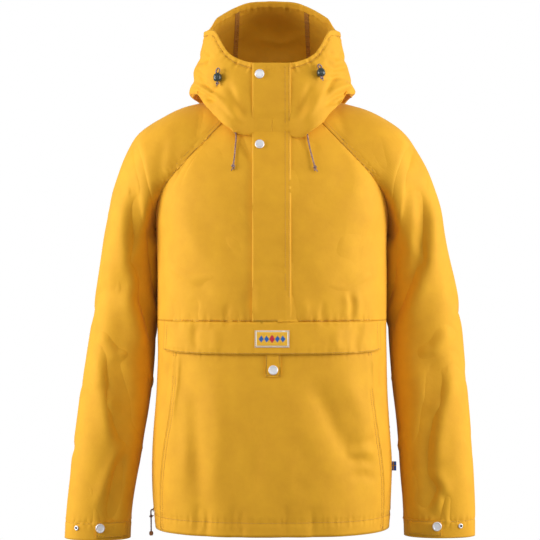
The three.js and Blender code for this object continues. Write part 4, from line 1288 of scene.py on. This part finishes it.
class AnorakCloth(bpy.types.PropertyGroup):
    colour: bpy.props.StringProperty(
        name="Cloth colour", description="The cloth's colour in plain light, as sRGB hex", default="#E2A620")
    dark: bpy.props.StringProperty(
        name="Slub colour", description="The colour of its darker threads, as sRGB hex", default="#D09218")
    sheen: bpy.props.FloatProperty(
        name="Sheen", description="How much the cloth's nap lights up at a glance", default=0.2,
        min=0, max=1, subtype="FACTOR")


class AnorakStage(bpy.types.PropertyGroup):
    side_power: bpy.props.FloatProperty(
        name="Side lights", description="The power of each side light", default=62, min=0, unit="POWER")
    fill_power: bpy.props.FloatProperty(
        name="Front light", description="The power of the light beside the camera", default=24, min=0,
        unit="POWER")
    room: bpy.props.FloatProperty(
        name="Room light", description="The strength of the light from all round", default=0.32, min=0)


# The operators


class OBJECT_OT_anorak_camera(bpy.types.Operator):
    """Stands the camera in front of the anorak"""
    bl_idname = "object.anorak_camera"
    bl_label = "Camera"

    def execute(self, context):
        bpy.ops.object.select_all(action="DESELECT")
        bpy.ops.object.camera_add(
            location=(CAMERA["x"], CAMERA["y"], CAMERA["z"]), rotation=(math.radians(90), 0, 0))
        camera = context.object
        camera.name = "camera"
        camera.data.lens = CAMERA["lens"]
        camera.data.sensor_width = CAMERA["sensor"]
        camera.data.clip_end = 30
        context.scene.camera = camera
        return {"FINISHED"}


def finish_piece(piece, node, material):
    """Puts a piece on the garment in place of its solid."""
    if material:
        piece.data.materials.append(material)
    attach(piece, "root")
    if node:
        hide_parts(node)


class OBJECT_OT_anorak_cords(bpy.types.Operator):
    """Hangs the two drawcord ends on the chest and the one at the hem, with their knots and bead"""
    bl_idname = "object.anorak_cords"
    bl_label = "Drawcord ends"

    def execute(self, context):
        braid = braided_cord()
        for side, route in NECK_ROUTES.items():
            foot, way = seat_of(f"eyelet_neck_{side}")
            front = NODES[f"front_upper_{side}"]
            tree = BVHTree.FromObject(front, context.evaluated_depsgraph_get())
            line = [foot + way * up * MM for up in EYELET_RUN]
            for x, z in route:
                hit, normal, _, _ = tree.ray_cast(Vector((x * MM, -0.3, z * MM)), Vector((0, 1, 0)))
                line.append(np.array(hit + normal * CORD_LIES * MM))
            path = smooth_path(line, 1.6 * MM)
            cord = cord_mesh(f"drawcord_neck_{side}", [path], CORD_RADIUS)
            finish_piece(cord, f"cord_neck_{side}", braid)
            onward = path[-1] - path[-3]
            lean = 1 if side == "left" else -1
            knot = knot_mesh(
                f"drawcord_knot_{side}", path[-1] + onward / np.linalg.norm(onward) * 2.4 * MM,
                np.array([0, -1.0, 0]), onward, 0.85, [(8.5, 2.4 * lean), (6.0, -2.6 * lean)])
            finish_piece(knot, f"knot_neck_{side}", braid)
        foot, way = seat_of("eyelet_hem")
        hung = [foot + np.array(step) * MM for step in HEM_WAY]
        path = smooth_path([*(foot + way * up * MM for up in EYELET_RUN), *hung], 1.4 * MM)
        cord = cord_mesh("drawcord_hem", [path], CORD_RADIUS)
        finish_piece(cord, "cord_hem", braid)
        knot = knot_mesh(
            "drawcord_knot_hem", hung[1] + np.array([0, 0, -1.5]) * MM, np.array([0, -1.0, 0]),
            np.array([0, 0, -1.0]), 0.75, [(-0.5, 4.6)])
        finish_piece(knot, None, braid)
        bead = turned("drawcord_bead", "bead")
        stand(bead, *seat_of("bead_hem", tall=True))
        # Turned wood, lacquered: streaky brown under a gloss.
        wood = grained("lacquered_wood_bead", ("#8A4E1C", "#C47E30"), 1.6, 0.05, {
            "Roughness": 0.35, "Coat Weight": 0.6, "Coat Roughness": 0.15})
        finish_piece(bead, "bead_hem", wood)
        return {"FINISHED"}


class OBJECT_OT_anorak_cloth(bpy.types.Operator):
    """Makes every piece of cloth as a thin shell on its solid, and creases it"""
    bl_idname = "object.anorak_cloth"
    bl_label = "Cloth"

    def execute(self, context):
        look = context.scene.anorak_cloth
        cotton = woven_cotton("waxed_cotton_yellow", look.colour, look.dark, look.sheen)
        pieces = {row["node"]: merged_copy(row["node"], NAMES[row["node"]]) for row in CLOTH}
        walls = {node: read_wall(piece, node) for node, piece in pieces.items()}
        set_ways(pieces, walls)
        for row in CLOTH:
            halve_cells(pieces[row["node"]], row["levels"])
            shape_cloth(pieces[row["node"]], row["node"])
        draw_in(pieces, seam_rows(pieces))
        for row in CLOTH:
            piece = pieces[row["node"]]
            lay_out(piece, row["node"])
            only(piece)
            bpy.ops.object.shade_smooth_by_angle(angle=SMOOTH_ANGLE)
            is_patch = row["node"] == "patch"
            finish_piece(piece, row["node"], None if is_patch else cotton)
        return {"FINISHED"}


class OBJECT_OT_anorak_sewing(bpy.types.Operator):
    """Stitches the seams and hems, and binds the hood's seams inside"""
    bl_idname = "object.anorak_sewing"
    bl_label = "Sewing"

    def execute(self, context):
        pieces = {node: bpy.data.objects[name] for node, name in NAMES.items()}
        sewn, bindings = sew(pieces)
        # Polyester thread: smoother than the cloth, so each stitch takes a small light.
        thread = grained("polyester_thread", ("#A8701A", "#C8902A"), 0.5, 0.08, {
            "Roughness": 0.5, "Sheen Weight": 0.1})
        # Cotton tape: a shade browner than the cloth, dull and close.
        tape = grained("cotton_binding_tape", ("#A86C14", "#C88A24"), 0.9, 0.12, {
            "Roughness": 0.85, "Sheen Weight": 0.15})
        for piece in sewn:
            finish_piece(piece, None, thread)
            only(piece)
            bpy.ops.object.shade_smooth()
        for piece in bindings:
            finish_piece(piece, None, tape)
        for piece in pieces.values():
            piece.data.attributes.remove(piece.data.attributes["way"])
        return {"FINISHED"}


class OBJECT_OT_anorak_fittings(bpy.types.Operator):
    """Fixes the snaps, studs and eyelets on the finished cloth"""
    bl_idname = "object.anorak_fittings"
    bl_label = "Snaps and eyelets"

    def execute(self, context):
        # Nickel plate, brushed: a pale grey that takes broad soft lights.
        nickel = grained("brushed_nickel_plate", ("#DADADE", "#F0F0F4"), 0.7, 0.02, {
            "Metallic": 0.5, "Roughness": 0.46})
        # Painted shade: the socket's hollow is coloured near black for the shade that falls in it, as a dark
        # steel.
        shaded_hollow = grained("painted_shade_in_hollow", ("#151516", "#2C2B2A"), 0.6, 0.03, {
            "Metallic": 0.7, "Roughness": 0.42})
        # Brass under a brown lacquer: dull gold at the rim.
        brass = grained("lacquered_brass", ("#7A5420", "#A37A34"), 0.8, 0.02, {
            "Metallic": 0.8, "Roughness": 0.4, "Coat Weight": 0.3})
        for snap in SNAPS:
            foot, way = seat_of(snap["node"])
            foot, way = on_cloth(foot, way, surface_tree(bpy.data.objects[NAMES[snap["on"]]]))
            piece = turned(snap["name"], snap["profile"])
            # The cells within the socket's radius take the painted shade.
            inside = [math.hypot(*face.center[:2]) < snap["shaded_hollow"] * MM for face in piece.data.polygons]
            stand(piece, foot, way)
            finish_piece(piece, snap["node"], nickel)
            piece.data.materials.append(shaded_hollow)
            for face, dark in zip(piece.data.polygons, inside):
                face.material_index = int(dark)
        for place in ("neck_left", "neck_right", "hem"):
            piece = turned(f"eyelet_ring_{place}", "eyelet")
            foot, way = seat_of(f"eyelet_{place}")
            stand(piece, foot, way)
            finish_piece(piece, f"eyelet_{place}", brass)
        return {"FINISHED"}


class OBJECT_OT_anorak_locks(bpy.types.Operator):
    """Fits the hood's two cord locks, with the loop above each and the end below"""
    bl_idname = "object.anorak_locks"
    bl_label = "Cord locks"

    def execute(self, context):
        braid = bpy.data.materials["braided_polyester_cord"]
        # Moulded acetal: dark grey-green, smooth enough to take a small bright light.
        acetal = grained("moulded_acetal", ("#2C3531", "#3D4844"), 2.4, 0.03, {
            "Roughness": 0.3, "Coat Weight": 0.25, "Coat Roughness": 0.2})
        for side, lean in (("left", 1), ("right", -1)):
            foot, up = seat_of(f"cord_lock_{side}", tall=True)
            hood = surface_tree(bpy.data.objects[NAMES[f"hood_{side}"]])
            middle = foot + up * LOCK["length"] / 2 * MM
            away = middle - nearest_on_line(middle[None], BODY_LINE)[0]
            away = np.array([away[0] * 0.6, away[1], 0])
            away -= up * (away @ up)
            away /= np.linalg.norm(away)
            hit = hood.ray_cast(Vector(middle + away * 25 * MM), Vector(-away), 60 * MM)[0]
            middle = np.array(hit) + away * LOCK["out"] * MM
            piece = turned(f"cord_stop_{side}", "lock")
            stand(piece, middle - up * LOCK["length"] / 2 * MM, up)
            finish_piece(piece, f"cord_lock_{side}", acetal)
            across = np.cross(away, up)
            top = middle + up * LOCK["length"] / 2 * MM
            arch = [(-1.6, -1.5), (-3.2, 2.5), (-2.6, 6.4), (0, 8.4), (2.6, 6.4), (3.2, 2.5), (1.6, -1.5)]
            line = [top + MM * (u * across + v * up - 0.25 * max(v, 0) * away) for u, v in arch]
            loop = cord_mesh(f"drawcord_loop_{side}", [smooth_path(line, 1.2 * MM)], CORD_RADIUS)
            finish_piece(loop, f"cord_loop_{side}", braid)
            low = middle - up * (LOCK["length"] / 2 + 2.6) * MM
            tail = knot_mesh(
                f"drawcord_tail_{side}", low, away, -up, 0.8, [(-3.4, 0.4), (5.2, 1.6 * lean)])
            finish_piece(tail, f"cord_tail_{side}", braid)
        return {"FINISHED"}


class OBJECT_OT_anorak_badges(bpy.types.Operator):
    """Colours the woven patch on the flap, and makes the flag label in the side seam"""
    bl_idname = "object.anorak_badges"
    bl_label = "Patch and label"

    def execute(self, context):
        white = satin_thread("white_satin_thread", "#F4EFE4", "#D9D2C2")
        yellow = satin_thread("yellow_satin_thread", "#F4BE34", "#D99E1E")
        blue = satin_thread("blue_satin_thread", "#1B6CC0", "#124C8C")
        red = satin_thread("red_satin_thread", "#D6203C", "#A8142C")
        # Painted light: the flag label's blue is a clear blue made lighter still, to stand in for the light
        # the label lacks between the body and the sleeve.
        flag_blue_lightened = satin_thread("flag_blue_thread_painted_light", "#3A7BE6", "#2A62C4")
        paint(bpy.data.objects[NAMES["patch"]], (white, yellow, blue, red), patch_thread)
        label = merged_copy("flag_label", "flag_loop")
        only(label)
        bpy.ops.object.mode_set(mode="EDIT")
        bpy.ops.mesh.select_all(action="SELECT")
        bpy.ops.mesh.subdivide(number_cuts=LABEL["cuts"])
        bpy.ops.object.mode_set(mode="OBJECT")
        points = read_points(label)
        across = (points[:, 0] - points[:, 0].min()) / MM
        points[:, 1] -= LABEL["curl"] * across ** 2 * MM
        move_points(label, points)
        paint(label, (flag_blue_lightened, yellow), flag_thread)
        finish_piece(label, "flag_label", None)
        return {"FINISHED"}


class OBJECT_OT_anorak_stage(bpy.types.Operator):
    """Sets up the white sweep and the lights"""
    bl_idname = "object.anorak_stage"
    bl_label = "Stage and light"

    def execute(self, context):
        setup = context.scene.anorak_stage
        bpy.ops.object.select_all(action="DESELECT")
        bpy.ops.mesh.primitive_plane_add(size=1, location=(0, 0, -0.76))
        sweep = context.object
        sweep.name = "sweep"
        sweep.scale = (9, 6, 1)
        bpy.ops.object.transform_apply(location=True, rotation=True, scale=True)
        bpy.ops.object.mode_set(mode="EDIT")
        bpy.ops.mesh.select_mode(type="EDGE")
        bpy.ops.mesh.select_all(action="DESELECT")
        bpy.ops.object.mode_set(mode="OBJECT")
        for edge in sweep.data.edges:
            edge.select = all(sweep.data.vertices[k].co.y > 2 for k in edge.vertices)
        bpy.ops.object.mode_set(mode="EDIT")
        bpy.ops.mesh.extrude_region_move(TRANSFORM_OT_translate={"value": (0, 0.6, 5)})
        bpy.ops.object.mode_set(mode="OBJECT")
        sweep.data.materials.append(stage_white())
        sweep.visible_diffuse = False
        sweep.visible_glossy = False
        sweep.visible_shadow = False
        for name, place, size, power in (
            ("light_left", (2.2, -0.5, 0.2), 1.5, setup.side_power),
            ("light_right", (-2.2, -0.5, 0.2), 1.5, setup.side_power),
            ("light_front", (0.1, -3.4, 0.9), 2.0, setup.fill_power),
        ):
            bpy.ops.object.light_add(type="AREA", location=place)
            light = context.object
            light.name = name
            light.data.shape = "SQUARE"
            light.data.size = size
            light.data.energy = power
            toward = Vector((0, 0, -0.28)) - Vector(place)
            light.rotation_euler = toward.to_track_quat("-Z", "Y").to_euler()
        world = context.scene.world or bpy.data.worlds.new("room")
        context.scene.world = world
        world.use_nodes = True
        tree = world.node_tree
        tree.nodes.clear()
        room = add_node(
            tree, "ShaderNodeBackground", None, {"Color": linear("#FFFFFF"), "Strength": setup.room})
        add_node(tree, "ShaderNodeOutputWorld", None, None, {"Surface": (room, "Background")})
        context.scene.view_settings.view_transform = "Standard"
        context.scene.view_settings.look = "None"
        return {"FINISHED"}


class VIEW3D_PT_anorak(bpy.types.Panel):
    bl_idname = "VIEW3D_PT_anorak"
    bl_label = "Anorak"
    bl_space_type = "VIEW_3D"
    bl_region_type = "UI"
    bl_category = "Anorak"

    def draw(self, context):
        for group in (context.scene.anorak_cloth, context.scene.anorak_stage):
            for key in group.__annotations__:
                self.layout.prop(group, key)
        for operator in OPERATORS:
            self.layout.operator(operator.bl_idname)


OPERATORS = (
    OBJECT_OT_anorak_camera,
    OBJECT_OT_anorak_cords,
    OBJECT_OT_anorak_cloth,
    OBJECT_OT_anorak_sewing,
    OBJECT_OT_anorak_fittings,
    OBJECT_OT_anorak_locks,
    OBJECT_OT_anorak_badges,
    OBJECT_OT_anorak_stage,
)
GROUPS = {"anorak_cloth": AnorakCloth, "anorak_stage": AnorakStage}


def register():
    for cls in (*GROUPS.values(), *OPERATORS, VIEW3D_PT_anorak):
        bpy.utils.register_class(cls)
    for name, group in GROUPS.items():
        setattr(bpy.types.Scene, name, bpy.props.PointerProperty(type=group))


def unregister():
    for name in GROUPS:
        delattr(bpy.types.Scene, name)
    for cls in reversed((*GROUPS.values(), *OPERATORS, VIEW3D_PT_anorak)):
        bpy.utils.unregister_class(cls)


def main():
    register()
    bpy.ops.object.anorak_camera()
    bpy.ops.object.anorak_cords()
    bpy.ops.object.anorak_cloth()
    bpy.ops.object.anorak_sewing()
    bpy.ops.object.anorak_fittings()
    bpy.ops.object.anorak_locks()
    bpy.ops.object.anorak_badges()
    bpy.ops.object.anorak_stage()


if __name__ == "__main__":
    main()
